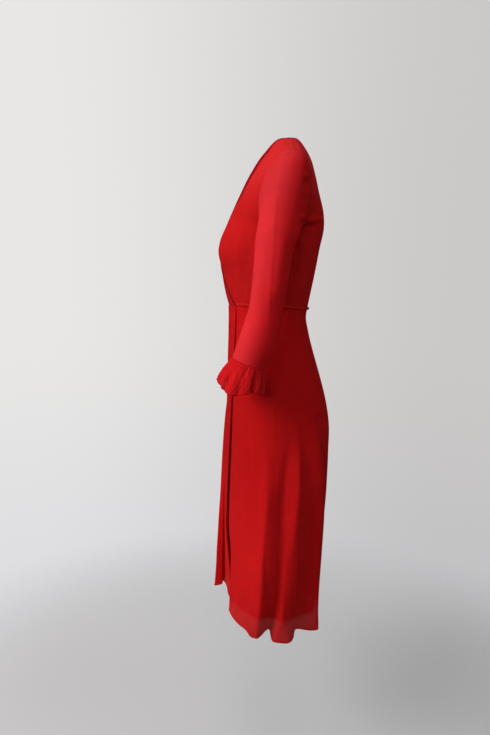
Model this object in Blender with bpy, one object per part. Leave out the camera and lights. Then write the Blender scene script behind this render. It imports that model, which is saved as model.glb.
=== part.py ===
"""Wrap dress in chiffon: each cut piece is a thin wall laid on the worn form.

Metres, +Z up. The front faces -Y and the wearer's left is +X. The origin is
midway between the two neck points, where the shoulders carry the dress.
The bodice surfaces are worked out from rows that run from the shoulder seam to
the waist seam, the skirt from level sections, the sleeves from rings.
"""

import bpy
import numpy as np

# Driving dimensions
WALL = 0.0012
SEAM_GAP = 0.0003
WAIST_Z = -0.365
HEM_Z = -1.098
LINING_HEM_Z = -1.063
LINING_INSET_TOP = 0.0018
LINING_INSET_OVERLAP = 0.0031
LINING_INSET = 0.0040
NECK_HALF_WIDTH = 0.078
OVERLAP_X = 0.0785
BAND_WIDTH = 0.009
BACK_NECK_DROP = 0.050
OVERLAP_LIFT_BODICE = 0.0034
OVERLAP_LIFT_SKIRT = 0.0062
SHOULDER_GAP = 0.0008
SIDE_GAP = 0.0009
TIE_HEIGHT = 0.0065
TIE_WALL = 0.0016
TIE_LIFT = (0.0026, 0.0018, 0.0022)
TIE_START_ANGLE = 43.0
TIE_STOP_ANGLE = 254.0
KNOT_ANGLE = 262.0
KNOT_HALF_SIZES = (0.0125, 0.0085, 0.0105)
KNOT_STANDOFF = 0.0112
TIE_END_LENGTHS = (0.31, 0.27)
TIE_END_HALF_ANGLE = 2.35
TIE_END_SHIFT = 2.6
RUFFLE_DEPTH = 0.054
RUFFLE_END_RADIUS = 0.0508
RUFFLE_COLUMNS = 36
RUFFLE_LEVELS_OFF = 0.40

# Rows of the bodice front, from the shoulder seam (0) to the waist seam (350).
# station mm, z_mid, y_mid, x_edge, y_edge, z_edge, turn (degrees), flat
BODICE_FRONT = (
    (0, 0.0213, 0.0000, 0.1780, 0.0040, -0.0450, 15, 1.00),
    (15, 0.0180, -0.0200, 0.1755, -0.0180, -0.0500, 22, 1.00),
    (45, -0.0164, -0.0524, 0.1670, -0.0410, -0.0765, 40, 1.00),
    (85, -0.0619, -0.0805, 0.1580, -0.0575, -0.1140, 52, 1.00),
    (125, -0.1111, -0.1034, 0.1510, -0.0615, -0.1510, 62, 1.10),
    (160, -0.1560, -0.1222, 0.1455, -0.0450, -0.1850, 76, 1.20),
    (185, -0.1980, -0.1371, 0.1430, -0.0060, -0.2000, 90, 1.35),
    (220, -0.2350, -0.1395, 0.1425, -0.0090, -0.2350, 90, 1.50),
    (285, -0.3000, -0.1377, 0.1330, -0.0200, -0.3000, 90, 1.30),
    (320, -0.3350, -0.1312, 0.1270, -0.0255, -0.3350, 90, 1.20),
    (350, -0.3650, -0.1225, 0.1225, -0.0300, -0.3650, 90, 1.15),
)
# Rows of the bodice back, the same columns.
BODICE_BACK = (
    (0, 0.0213, 0.0000, 0.1780, 0.0040, -0.0450, 15, 1.00),
    (15, 0.0180, 0.0170, 0.1765, 0.0230, -0.0495, 22, 1.00),
    (40, -0.0130, 0.0440, 0.1710, 0.0375, -0.0735, 40, 1.00),
    (80, -0.0600, 0.0640, 0.1650, 0.0425, -0.1120, 52, 1.00),
    (115, -0.1040, 0.0740, 0.1580, 0.0400, -0.1500, 62, 1.10),
    (145, -0.1450, 0.0808, 0.1490, 0.0305, -0.1850, 76, 1.30),
    (175, -0.1900, 0.0842, 0.1430, -0.0060, -0.2000, 90, 1.50),
    (210, -0.2350, 0.0803, 0.1425, -0.0090, -0.2350, 90, 1.40),
    (275, -0.3000, 0.0720, 0.1330, -0.0200, -0.3000, 90, 1.20),
    (310, -0.3350, 0.0660, 0.1270, -0.0255, -0.3350, 90, 1.15),
    (340, -0.3650, 0.0610, 0.1225, -0.0300, -0.3650, 90, 1.10),
)
# Darted fullness: x, z, out, spread across, spread down
BUST = (0.080, -0.243, 0.015, 0.045, 0.042)
SHOULDER_BLADE = (0.072, -0.165, 0.006, 0.045, 0.050)

# Level sections of the skirt.
# z, half_width, y_side, y_front, y_back, flat_front, flat_back
SKIRT = (
    (-0.365, 0.1225, -0.0300, -0.1230, 0.0600, 1.15, 1.10),
    (-0.385, 0.1265, -0.0300, -0.1218, 0.0580, 1.12, 1.10),
    (-0.425, 0.1385, -0.0290, -0.1210, 0.0652, 1.10, 1.10),
    (-0.475, 0.1520, -0.0260, -0.1212, 0.0793, 1.10, 1.12),
    (-0.530, 0.1630, -0.0210, -0.1208, 0.0967, 1.10, 1.13),
    (-0.590, 0.1700, -0.0140, -0.1200, 0.1132, 1.10, 1.15),
    (-0.640, 0.1725, -0.0080, -0.1190, 0.1225, 1.10, 1.18),
    (-0.700, 0.1735, -0.0030, -0.1180, 0.1250, 1.10, 1.20),
    (-0.800, 0.1745, 0.0010, -0.1165, 0.1248, 1.12, 1.22),
    (-0.900, 0.1760, 0.0020, -0.1150, 0.1198, 1.15, 1.25),
    (-1.000, 0.1775, 0.0020, -0.1140, 0.1163, 1.15, 1.28),
    (-1.098, 0.1785, 0.0020, -0.1130, 0.1168, 1.15, 1.30),
)
# Folds that open towards the hem, by angle round the skirt from centre front.
# angle at the top, half way and at the hem, spread at the top and at the hem,
# lean, out at the hem, top z, growth power
FOLDS = (
    (78.7, 71.8, 67.8, 12.5, 4.9, -0.42, 0.0190, -0.708, 0.60),
    (77.2, 78.5, 73.2, 9.1, 3.1, 0.08, 0.0250, -0.625, 0.60),
    (84.8, 91.0, 81.3, 6.8, 5.2, -0.65, -0.0407, -0.843, 2.20),
    (101.2, 90.6, 94.6, 4.6, 11.0, -0.23, 0.0286, -0.632, 0.88),
    (100.6, 91.7, 99.7, 2.6, 8.6, -0.08, -0.0212, -0.625, 0.67),
    (108.5, 104.2, 106.5, 3.6, 9.2, -0.03, 0.0518, -0.591, 1.13),
    (113.4, 104.3, 109.9, 3.0, 8.0, 0.08, -0.0564, -0.707, 1.80),
    (121.0, 131.4, 130.6, 7.1, 6.0, -0.45, 0.0311, -0.561, 0.60),
    (148.5, 137.3, 129.4, 15.4, 7.0, -0.65, -0.0190, -0.706, 1.10),
    (171.7, 160.5, 160.4, 18.9, 9.5, -0.17, -0.0074, -0.560, 0.60),
    (180.3, 177.7, 180.4, 9.0, 7.4, -0.02, -0.0061, -0.857, 1.14),
    (-72.0, -67.0, -62.0, 9.0, 8.0, 0.20, 0.0220, -0.640, 0.90),
    (-86.0, -84.0, -77.0, 7.0, 6.0, 0.40, -0.0280, -0.660, 1.30),
    (-104.0, -100.0, -96.0, 5.0, 10.0, 0.05, 0.0330, -0.620, 1.00),
    (-117.0, -110.0, -112.0, 5.0, 8.0, -0.10, -0.0250, -0.660, 1.20),
    (-127.0, -133.0, -131.0, 8.0, 8.0, 0.35, 0.0170, -0.640, 0.80),
    (-147.0, -145.0, -149.0, 12.0, 8.0, 0.30, -0.0120, -0.720, 1.00),
    (-164.0, -166.0, -163.0, 10.0, 8.0, 0.00, 0.0050, -0.800, 1.20),
)
# How the loose edge of the overlap swings and laps under itself, at the hem.
# angle, turn back along the skirt, dx, dy, tuck back right at the hem
OVERLAP_LAP = (
    (-90, 0.0, 0.000, 0.0000, 0.000),
    (-65, 0.0, 0.000, -0.0020, 0.000),
    (-40, 0.0, 0.000, -0.0130, 0.000),
    (-32, 0.0, 0.003, -0.0190, 0.000),
    (-25, 0.0, 0.002, -0.0250, 0.000),
    (-19, 0.0, 0.000, -0.0290, 0.000),
    (-12, -4.0, 0.000, -0.0317, 0.000),
    (-7, -10.5, 0.001, -0.0215, 0.000),
    (-2, -17.5, 0.001, -0.0145, 0.000),
    (3, -29.0, 0.004, -0.0170, 0.000),
    (12, -32.3, 0.004, -0.0050, 0.000),
    (21, -33.3, 0.003, 0.0000, 0.003),
    (30, -34.3, 0.000, 0.0000, 0.007),
    (40, -36.3, 0.000, 0.0000, 0.013),
)
# The same for its lining, which passes behind the fold.
OVERLAP_LINING_LAP = (
    (-90, 0.0, 0.000, 0.0000, 0.000),
    (-65, 0.0, 0.000, -0.0010, 0.000),
    (-40, 0.0, 0.000, -0.0100, 0.000),
    (-32, 0.0, 0.000, -0.0140, 0.000),
    (-25, -2.0, 0.000, -0.0140, 0.000),
    (-19, -6.0, 0.000, -0.0133, 0.000),
    (-12, -11.5, 0.000, -0.0115, 0.000),
    (-7, -15.5, 0.000, -0.0100, 0.000),
    (-2, -19.5, 0.000, -0.0080, 0.000),
    (3, -23.7, 0.000, -0.0060, 0.000),
    (12, -31.0, 0.001, -0.0036, 0.000),
    (21, -33.3, 0.003, 0.0000, 0.003),
    (30, -34.3, 0.000, 0.0000, 0.007),
    (40, -36.3, 0.000, 0.0000, 0.013),
)
SWING_POWER = 1.1
LAP_TOP_Z = -0.60
LAP_EARLY = (0.80, 0.5)
LAP_LATE = (0.20, 4.0)
TUCK_TOP_Z = -0.87
TUCK_FULL_Z = -1.06
# The part of the left front that lies under the overlap hangs back from it.
UNDER_DRAW = 0.0155
UNDER_DRAW_FADE = 20
LINING_RIDGE_SHARE = 0.3
# A lining keeps off the flanks of the folds: degrees to each side it looks.
LINING_REACH = 3.0
# Columns of the skirt, by angle; both fronts share the ones where they overlap.
OVERLAP_ANGLE = 40
OVERLAP_ANGLES = (-40, -32, -25, -19, -12, -7, -2, 3, 12, 21, 30, OVERLAP_ANGLE)
RIGHT_SIDE_ANGLES = (-90, -83, -76, -69, -62, -55, -48)
LEFT_SIDE_ANGLES = (48, 56, 63, 68, 73, 77.5, 81, 85, 90)
BACK_ANGLES = (
    90, 94.5, 99.5, 105, 110, 115, 120.5, 126, 131.5, 137, 143, 150, 158, 166,
    174, 182, 191, 200, 209, 219, 229, 238.5, 248, 256.5, 265, 270,
)
SKIRT_LEVELS = (
    -0.365, -0.400, -0.450, -0.505, -0.620,
    -0.700, -0.790, -0.890, -0.985, LINING_HEM_Z, -1.098,
)
LINING_LEVELS = (
    -0.365, -0.400, -0.505, -0.620, -0.790, -0.890, -0.985, LINING_HEM_Z,
)

# Rings of the left sleeve below its cap: x, y, z, radius
SLEEVE = (
    (0.1900, -0.0225, -0.2130, 0.0435),
    (0.1960, -0.0285, -0.2400, 0.0402),
    (0.2010, -0.0325, -0.2800, 0.0380),
    (0.2060, -0.0375, -0.3280, 0.0358),
    (0.2100, -0.0430, -0.3660, 0.0345),
    (0.2130, -0.0500, -0.4020, 0.0372),
    (0.2155, -0.0605, -0.4400, 0.0385),
    (0.2175, -0.0760, -0.4790, 0.0355),
)
# Folds of the cuff ruffle: angle at the seam, angle at the hem, spread, out,
# then the shares of its depth where the fold starts, is full and ends
RUFFLE_FOLDS = (
    (100, 124, 6, -0.0050, 0.00, 0.60, 2.0),
    (118, 131, 7, 0.0020, 0.00, 0.70, 2.0),
    (150, 139, 8, -0.0060, 0.20, 0.80, 2.0),
    (155, 161, 8, 0.0020, 0.10, 0.80, 2.0),
    (172, 178, 5, -0.0050, 0.35, 0.90, 2.0),
    (178, 178, 4, -0.0030, 0.02, 0.14, 0.3),
    (194, 196, 8, 0.0020, 0.00, 0.70, 2.0),
    (210, 209, 5, -0.0080, 0.00, 0.50, 2.0),
    (230, 223, 6, 0.0020, 0.00, 0.70, 2.0),
    (248, 236, 5, -0.0060, 0.00, 0.60, 2.0),
    (263, 256, 8, 0.0020, 0.00, 0.70, 2.0),
    (286, 281, 8, -0.0046, 0.00, 0.70, 2.0),
    (310, 306, 7, -0.0062, 0.10, 0.70, 2.0),
    (330, 329, 10, 0.0022, 0.00, 0.70, 2.0),
    (352, 349, 6, -0.0056, 0.00, 0.60, 2.0),
    (16, 20, 9, 0.0020, 0.10, 0.80, 2.0),
    (38, 42, 6, -0.0060, 0.00, 0.60, 2.0),
    (66, 66, 8, -0.0042, 0.25, 0.90, 2.0),
)
# How much further down the ruffle hangs at an angle round its hem
RUFFLE_HANG = (
    (0, -0.0010),
    (40, -0.0045),
    (90, -0.0089),
    (114, -0.0035),
    (126, 0.0014),
    (144, 0.0084),
    (174, 0.0092),
    (186, 0.0047),
    (198, 0.0000),
    (210, -0.0030),
    (240, -0.0026),
    (254, -0.0040),
    (270, -0.0030),
    (310, 0.0020),
    (335, 0.0026),
    (360, -0.0010),
)
RIGHT_ARM_BACK = 0.014
RIGHT_ARM_BACK_FROM_Z = -0.21
RIGHT_ARM_BACK_SPAN = 0.26
CAP_ROWS = 4
CAP_PUSH = 0.40
SLEEVE_COLUMNS = 16
NECK_COLUMNS = 9

RED = (0.42, 0.012, 0.014, 1.0)
LINING_RED = (0.36, 0.012, 0.012, 1.0)


def smooth_table(rows, at):
    """Columns of a table at these values of its first one, by a smooth curve."""
    table = np.array(rows, float)
    knots, values = table[:, 0], table[:, 1:]
    slopes = np.gradient(values, knots, axis=0)
    at = np.clip(np.asarray(at, float), knots[0], knots[-1])
    low = np.clip(np.searchsorted(knots, at, side="right") - 1, 0, len(knots) - 2)
    step = (knots[low + 1] - knots[low])[..., None]
    t = (at - knots[low])[..., None] / step
    found = (
        values[low] * (1 + 2 * t) * (1 - t) ** 2
        + values[low + 1] * t * t * (3 - 2 * t)
        + slopes[low] * step * t * (1 - t) ** 2
        - slopes[low + 1] * step * t * t * (1 - t)
    )
    return np.moveaxis(found, -1, 0)


def smooth_step(share):
    share = np.clip(share, 0, 1)
    return share * share * (3 - 2 * share)


def fullness(x, z, dart):
    """Outward push of a pair of darted places, one each side of the centre."""
    at_x, at_z, out, across, down = dart
    drop = np.exp(-(((z - at_z) / down) ** 2))
    sides = np.exp(-(((x - at_x) / across) ** 2))
    sides = sides + np.exp(-(((x + at_x) / across) ** 2))
    return out * drop * sides


def bodice_point(rows, across, station):
    """Points of the front or the back at across (-1 to 1) and station (mm)."""
    found = smooth_table(rows, station)
    z_mid, y_mid, x_edge, y_edge, z_edge, turn, flat = found
    turn = np.radians(turn)
    bend = (1 - np.cos(turn * np.abs(across))) / (1 - np.cos(turn))
    x = x_edge * np.sin(turn * across) / np.sin(turn)
    y = y_mid + (y_edge - y_mid) * bend**flat
    soft = 0.25
    reach = (np.sqrt(across**2 + soft**2) - soft) / (np.sqrt(1 + soft**2) - soft)
    z = z_mid + (z_edge - z_mid) * reach
    if rows is BODICE_FRONT:
        y = y - fullness(x, z, BUST)
    else:
        y = y + fullness(x, z, SHOULDER_BLADE)
    return np.stack([x, y, z], axis=-1)


def across_at(rows, x, station):
    """The across value at which a row of the bodice reaches this x."""
    found = smooth_table(rows, station)
    x_edge, turn = found[2], np.radians(found[5])
    return np.arcsin(x / x_edge * np.sin(turn)) / turn


def neck_x(station, inset=0.0):
    """x of the left front's neck edge, a straight cut from neck point to waist."""
    end = BODICE_FRONT[-1][0]
    return NECK_HALF_WIDTH - (NECK_HALF_WIDTH + OVERLAP_X) * station / end + inset


def fold_depth(angle, z, ridge_share=1.0):
    """Outward push of the folds; a lining takes only a share of the ridges."""
    out = np.zeros(np.broadcast(angle, z).shape)
    for top, half, hem, top_spread, hem_spread, lean, push, top_z, power in FOLDS:
        t = np.clip((top_z - z) / (top_z - HEM_Z), 0, 1)
        middle = top * (1 - t) * (1 - 2 * t) + 4 * half * t * (1 - t) + hem * t * (2 * t - 1)
        away = (angle - middle + 180) % 360 - 180
        spread = (top_spread + (hem_spread - top_spread) * t) * (1 + lean * np.tanh(away / 6))
        out = out + push * t**power * smooth_step(4 * t) * np.exp(-((away / spread) ** 2))
    return np.where(out > 0, ridge_share * out, out)


def skirt_point(angle, z, lift=0.0, lap=None, draw=0.0, ridge_share=1.0):
    """Points of the skirt at an angle round it from centre front and a height.

    Each level section is an oval whose front and back depths differ, pushed out
    by the folds and the lift. lap is the table of the overlap's swing, for a
    piece that takes part in it, and draw 1 for one that hangs back under it.
    """
    found = smooth_table(tuple((-r[0], *r[1:]) for r in SKIRT), -z)
    half_width, y_side, y_front, y_back, flat_front, flat_back = found
    swing = np.clip((WAIST_Z - z) / (WAIST_Z - HEM_Z), 0, 1) ** SWING_POWER
    lapped = np.clip((LAP_TOP_Z - z) / (LAP_TOP_Z - HEM_Z), 0, 1)
    lapped = sum(part * lapped**power for part, power in (LAP_EARLY, LAP_LATE))
    tucked = smooth_step((TUCK_TOP_Z - z) / (TUCK_TOP_Z - TUCK_FULL_Z))
    lap_turn = lap_x = lap_y = 0.0
    if lap is not None:
        lap_turn, lap_x, lap_y, tuck = smooth_table(lap, angle)
        lap_turn, lap_x = lap_turn * swing, lap_x * lapped
        lap_y = lap_y * lapped + tuck * tucked
    edge = OVERLAP_ANGLE + OVERLAP_LAP[-1][1] * swing
    covered = smooth_step((edge + UNDER_DRAW_FADE - angle) / UNDER_DRAW_FADE)
    turn = np.radians(angle + lap_turn)
    front = np.cos(turn) > 0
    y_mid = np.where(front, y_front, y_back)
    flat = np.where(front, flat_front, flat_back)
    x = half_width * np.sin(turn)
    y = y_mid + (y_side - y_mid) * (1 - np.abs(np.cos(turn))) ** flat
    beside = (0.0,) if ridge_share == 1 else (-LINING_REACH, 0.0, LINING_REACH)
    out = np.min([fold_depth(angle + off, z, ridge_share) for off in beside], axis=0) + lift
    x = x + out * np.sin(turn) + lap_x
    y = y - out * np.cos(turn) + lap_y + UNDER_DRAW * covered * tucked * draw
    return np.stack([x, y, z], axis=-1)


def level_outward(along):
    """Level unit vectors to the right of these steps along a section."""
    across = np.stack([along[..., 1], -along[..., 0], np.zeros_like(along[..., 0])], axis=-1)
    return across / np.linalg.norm(across, axis=-1, keepdims=True)


def pulled_in(points, sides, gap=SEAM_GAP / 2):
    """The grid with the named sides drawn back from their seams."""
    points = points.copy()
    for side in sides:
        near, next_in = {
            "first_column": (np.s_[0, :], np.s_[1, :]),
            "last_column": (np.s_[-1, :], np.s_[-2, :]),
            "first_row": (np.s_[:, 0], np.s_[:, 1]),
            "last_row": (np.s_[:, -1], np.s_[:, -2]),
        }[side]
        inward = points[next_in] - points[near]
        inward = inward / np.linalg.norm(inward, axis=-1, keepdims=True)
        points[near] = points[near] + inward * gap
    return points


def plain_material(name, colour, roughness):
    material = bpy.data.materials.new(name)
    material.use_nodes = True
    shader = material.node_tree.nodes["Principled BSDF"]
    shader.inputs["Base Color"].default_value = colour
    shader.inputs["Roughness"].default_value = roughness
    shader.inputs["Metallic"].default_value = 0.0
    return material


def cloth(name, points, colour=RED, wall=WALL, round_piece=False):
    """A piece of cloth from a grid: its outer face on the points, its wall inside.

    The grid runs (columns, rows, xyz), columns to the left round the outside and
    rows down. A round piece joins its last column to its first.
    """
    columns, rows = points.shape[:2]
    index = np.arange(columns * rows).reshape(columns, rows)
    if round_piece:
        index = np.concatenate([index, index[:1]])
    quads = np.stack(
        [index[:-1, :-1], index[:-1, 1:], index[1:, 1:], index[1:, :-1]], axis=-1
    )
    mesh = bpy.data.meshes.new(name)
    mesh.from_pydata(points.reshape(-1, 3).tolist(), [], quads.reshape(-1, 4).tolist())
    mesh.shade_smooth()
    piece = bpy.data.objects.new(name, mesh)
    bpy.context.scene.collection.objects.link(piece)
    thickness = piece.modifiers.new("wall", "SOLIDIFY")
    thickness.thickness = wall
    thickness.offset = -1
    thickness.use_even_offset = True
    thickness.use_quality_normals = True
    mesh.materials.append(plain_material(name, colour, 0.62))
    return piece


def mirrored(points):
    """The grid of the other side, its columns still running to the left."""
    return points[::-1] * np.array([-1, 1, 1])


def bodice_stations(rows):
    """Stations of the grid rows: the table's own, and one between long steps."""
    knots = [row[0] for row in rows]
    return np.array(sorted(set(knots) | {knots[-4] + 32}), float)


def front_grid(first_x, last_edge, stations, columns):
    """Grid of the left front between two lines given as x or across per station."""
    share = np.linspace(0, 1, columns)[:, None]
    first = across_at(BODICE_FRONT, first_x, stations)
    across = first + (last_edge - first) * share
    return bodice_point(BODICE_FRONT, across, np.broadcast_to(stations, across.shape))


def lifted_overlap(points):
    """The right front lifted off the left one, and level by its own side seam."""
    cover = smooth_step((points[..., 0] + OVERLAP_X + 0.045) / 0.045)
    low = smooth_step((-0.075 - points[..., 2]) / 0.06)
    lift = OVERLAP_LIFT_BODICE * cover * low
    return points + level_outward(np.gradient(points, axis=0)) * lift[..., None]


def build_bodice():
    stations = bodice_stations(BODICE_FRONT)
    band = BAND_WIDTH / 0.93
    grid = front_grid(neck_x(stations, band + 1.5 * SEAM_GAP), 1.0, stations, 10)
    edge = across_at(BODICE_FRONT, neck_x(stations, band), stations)
    band_grid = front_grid(neck_x(stations), edge, stations, 2)
    for name, points, side in (
        ("bodice_{}_front", grid, "last_column"),
        ("neck_band_{}", band_grid, None),
    ):
        points = pulled_in(points, ("first_row",), SHOULDER_GAP)
        points = pulled_in(points, ("last_row", side) if side else ("last_row",))
        cloth(name.format("left"), points)
        cloth(name.format("right"), lifted_overlap(mirrored(points)))
    build_back()


def neck_curve(columns, inner, drop):
    """across and station of the back's neckline, a shallow dip between necks."""
    along = np.linspace(-1, 1, columns)
    station = 1000 * drop * (1 - along**2)
    return across_at(BODICE_BACK, inner * along, station), station


def build_back():
    inner = NECK_HALF_WIDTH + BAND_WIDTH
    middle, dip = neck_curve(NECK_COLUMNS, inner, BACK_NECK_DROP + BAND_WIDTH)
    side = np.linspace(middle[-1], 1, 5)[1:]
    across = np.concatenate([-side[::-1], middle, side])
    start = np.concatenate([0 * side, dip, 0 * side])
    knots = bodice_stations(BODICE_BACK)
    share = knots / knots[-1]
    stations = start[:, None] + (knots[-1] - start[:, None]) * share
    points = bodice_point(BODICE_BACK, across[:, None] * np.ones_like(stations), stations)
    points = pulled_in(points[::-1], ("first_row",), SHOULDER_GAP)
    edges = ("last_row", "first_column", "last_column")
    cloth("bodice_back", pulled_in(points, edges))

    columns = []
    for width in (0.0, BAND_WIDTH / 2, BAND_WIDTH - SEAM_GAP):
        inner, drop = NECK_HALF_WIDTH + width, BACK_NECK_DROP + width
        columns.append(bodice_point(BODICE_BACK, *neck_curve(NECK_COLUMNS, inner, drop)))
    band = np.stack(columns, axis=1)[::-1]
    cloth("neck_band_back", pulled_in(band, ("first_column", "last_column"), SHOULDER_GAP))


def skirt_grid(angles, levels, **how):
    """Grid of a piece of the skirt."""
    shape = (len(angles), len(levels))
    angle = np.broadcast_to(np.array(angles, float)[:, None], shape)
    return skirt_point(angle, np.broadcast_to(np.array(levels, float), shape), **how)


def build_skirt():
    left = OVERLAP_ANGLES + LEFT_SIDE_ANGLES
    right = RIGHT_SIDE_ANGLES + OVERLAP_ANGLES
    cover = smooth_step((np.array(right)[:, None] + 75) / 30)
    for kind, levels, colour, share, lap in (
        ("skirt", SKIRT_LEVELS, RED, 1.0, OVERLAP_LAP),
        ("lining", LINING_LEVELS, LINING_RED, LINING_RIDGE_SHARE, OVERLAP_LINING_LAP),
    ):
        grown = smooth_step((WAIST_Z - np.array(levels)) / 0.04)
        over = OVERLAP_LIFT_BODICE + (OVERLAP_LIFT_SKIRT - OVERLAP_LIFT_BODICE) * grown
        inset = LINING_INSET_TOP + (LINING_INSET - LINING_INSET_TOP) * grown
        under = LINING_INSET_TOP + (LINING_INSET_OVERLAP - LINING_INSET_TOP) * grown
        if kind == "skirt":
            inset, under = 0 * inset, 0 * under
        over = (over - under) * cover - inset * (1 - cover)
        for part, angles, how, seams in (
            ("back", BACK_ANGLES, {"lift": -inset}, ("first_column", "last_column")),
            ("left_front", left, {"lift": -inset, "draw": 1.0}, ("last_column",)),
            ("right_front", right, {"lift": over, "lap": lap}, ("first_column",)),
        ):
            points = skirt_grid(angles, levels, ridge_share=share, **how)
            points = pulled_in(points, seams, SIDE_GAP)
            cloth(kind + "_" + part, pulled_in(points, ("first_row",)), colour)


def armhole(across=1.0):
    """The left armhole as a loop: underarm, front edge, shoulder point, back edge.

    With across below 1 it is the same loop a little further in on the bodice.
    """
    front = np.array([r[0] for r in BODICE_FRONT if r[0] <= 185], float)
    back = np.array([r[0] for r in BODICE_BACK if r[0] <= 175], float)
    front_edge = bodice_point(BODICE_FRONT, across + 0 * front, front)[::-1]
    back_edge = bodice_point(BODICE_BACK, across + 0 * back, back)
    return np.concatenate([front_edge, back_edge[1:-1]])


def loop_at(loop, turns, values=None):
    """Points of a closed loop at these shares of its length, by a smooth curve.

    Where values go with the loop's points, they are read instead.
    """
    closed = np.concatenate([loop[-2:], loop, loop[:3]])
    steps = np.linalg.norm(np.diff(closed, axis=0), axis=1)
    length = np.concatenate([[0], np.cumsum(steps)]) - steps[:2].sum()
    whole = length[len(loop) + 2]
    if values is not None:
        closed = np.concatenate([values[-2:], values, values[:3]])
    rows = np.concatenate([length[:, None], closed], axis=1)
    return smooth_table(rows, turns * whole).T


def ring(centre, along, radius, angle):
    """A ring about a centre line, its angle 0 towards the body, 90 to the front."""
    along = along / np.linalg.norm(along)
    outward = np.array([1.0, 0, 0]) - along * along[0]
    outward = outward / np.linalg.norm(outward)
    forward = np.cross(along, outward)
    angle = angle[:, None]
    return centre + radius * (forward * np.sin(angle) - outward * np.cos(angle))


def sleeve_rings(angle):
    """Rings of the left sleeve from the end of its cap down to the cuff seam."""
    table = np.array(SLEEVE)
    centres, radii = table[:, :3], table[:, 3]
    along = np.gradient(centres, axis=0)
    return [ring(c, a, r, angle) for c, a, r in zip(centres, along, radii)], along


def cap_rows(start, end, along, angle, rows, onward):
    """Rows of the cap: curves from the armhole that arrive along the arm.

    Over the shoulder they run on the way the bodice does there, onward.
    """
    high = ((1 - np.cos(angle)) / 2)[:, None]
    side = np.sin(angle)[:, None]
    leave = np.concatenate([0.35 + 0.58 * high, -0.12 * side, -0.94 + 0.57 * high], axis=1)
    leave = leave / np.linalg.norm(leave, axis=1, keepdims=True)
    smooth = smooth_step((high - 0.68) / 0.22)
    leave = leave + smooth * (onward / np.linalg.norm(onward, axis=1, keepdims=True) - leave)
    leave = leave / np.linalg.norm(leave, axis=1, keepdims=True)
    arrive = along / np.linalg.norm(along)
    span = np.linalg.norm(end - start, axis=1, keepdims=True)
    pull = (0.30 + 0.06 * smooth) * span
    control = (start, start + leave * pull, end - arrive * CAP_PUSH * span, end)
    found = []
    for t in np.linspace(0, 1, rows)[:-1]:
        weights = ((1 - t) ** 3, 3 * t * (1 - t) ** 2, 3 * t * t * (1 - t), t**3)
        found.append(sum(w * c for w, c in zip(weights, control)))
    return found


def swung_back(points):
    """The right sleeve, which hangs a little further back than the left one."""
    share = smooth_step((RIGHT_ARM_BACK_FROM_Z - points[..., 2]) / RIGHT_ARM_BACK_SPAN)
    return points + share[..., None] * np.array([0, RIGHT_ARM_BACK, 0])


def ruffle_folds(degrees, share):
    """Outward push of the ruffle's folds at a share of the way to its hem."""
    out = np.zeros_like(degrees)
    for seam_angle, hem_angle, spread, push, first, full, last in RUFFLE_FOLDS:
        away = degrees - (seam_angle + (hem_angle - seam_angle) * share)
        away = (away + 180) % 360 - 180
        grown = smooth_step((share - first) / (full - first))
        kept = 1 - smooth_step((share - last) / 0.25)
        out = out + push * grown * kept * np.exp(-((away / spread) ** 2))
    return out


def build_sleeves():
    columns = SLEEVE_COLUMNS
    turns = np.arange(columns) / columns
    angle = 2 * np.pi * turns
    rings, along = sleeve_rings(angle)
    loop = armhole()
    start = loop_at(loop, turns)
    onward = loop_at(loop, turns, loop - armhole(0.97))
    rows = cap_rows(start, rings[0], along[0], angle, CAP_ROWS, onward) + rings
    left = np.stack(rows, axis=1)
    left = pulled_in(left, ("first_row",), 4 * SEAM_GAP)
    left = pulled_in(left, ("last_row",))
    cloth("sleeve_left", left, round_piece=True)
    cloth("sleeve_right", swung_back(mirrored(left)), round_piece=True)

    angle = 2 * np.pi * np.arange(RUFFLE_COLUMNS) / RUFFLE_COLUMNS
    centre, radius = np.array(SLEEVE[-1][:3]), SLEEVE[-1][3]
    arm = along[-1] / np.linalg.norm(along[-1])
    rows = []
    for share in (0.0, 0.45, 1.0):
        tilt = arm * (1, 1 - RUFFLE_LEVELS_OFF * share, 1)
        tilt = tilt / np.linalg.norm(tilt)
        middle = centre + arm * SEAM_GAP + (arm + tilt) / 2 * share * RUFFLE_DEPTH
        flare = radius + (RUFFLE_END_RADIUS - radius) * (1 - (1 - share) ** 1.5)
        out = flare + ruffle_folds(np.degrees(angle), share)
        hang = share * smooth_table(RUFFLE_HANG, np.degrees(angle))[0]
        rows.append(ring(middle, tilt, out[:, None], angle) + tilt * hang[:, None])
    ruffle = np.stack(rows, axis=1)
    cloth("cuff_ruffle_left", ruffle, round_piece=True)
    cloth("cuff_ruffle_right", swung_back(mirrored(ruffle)), round_piece=True)


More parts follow.
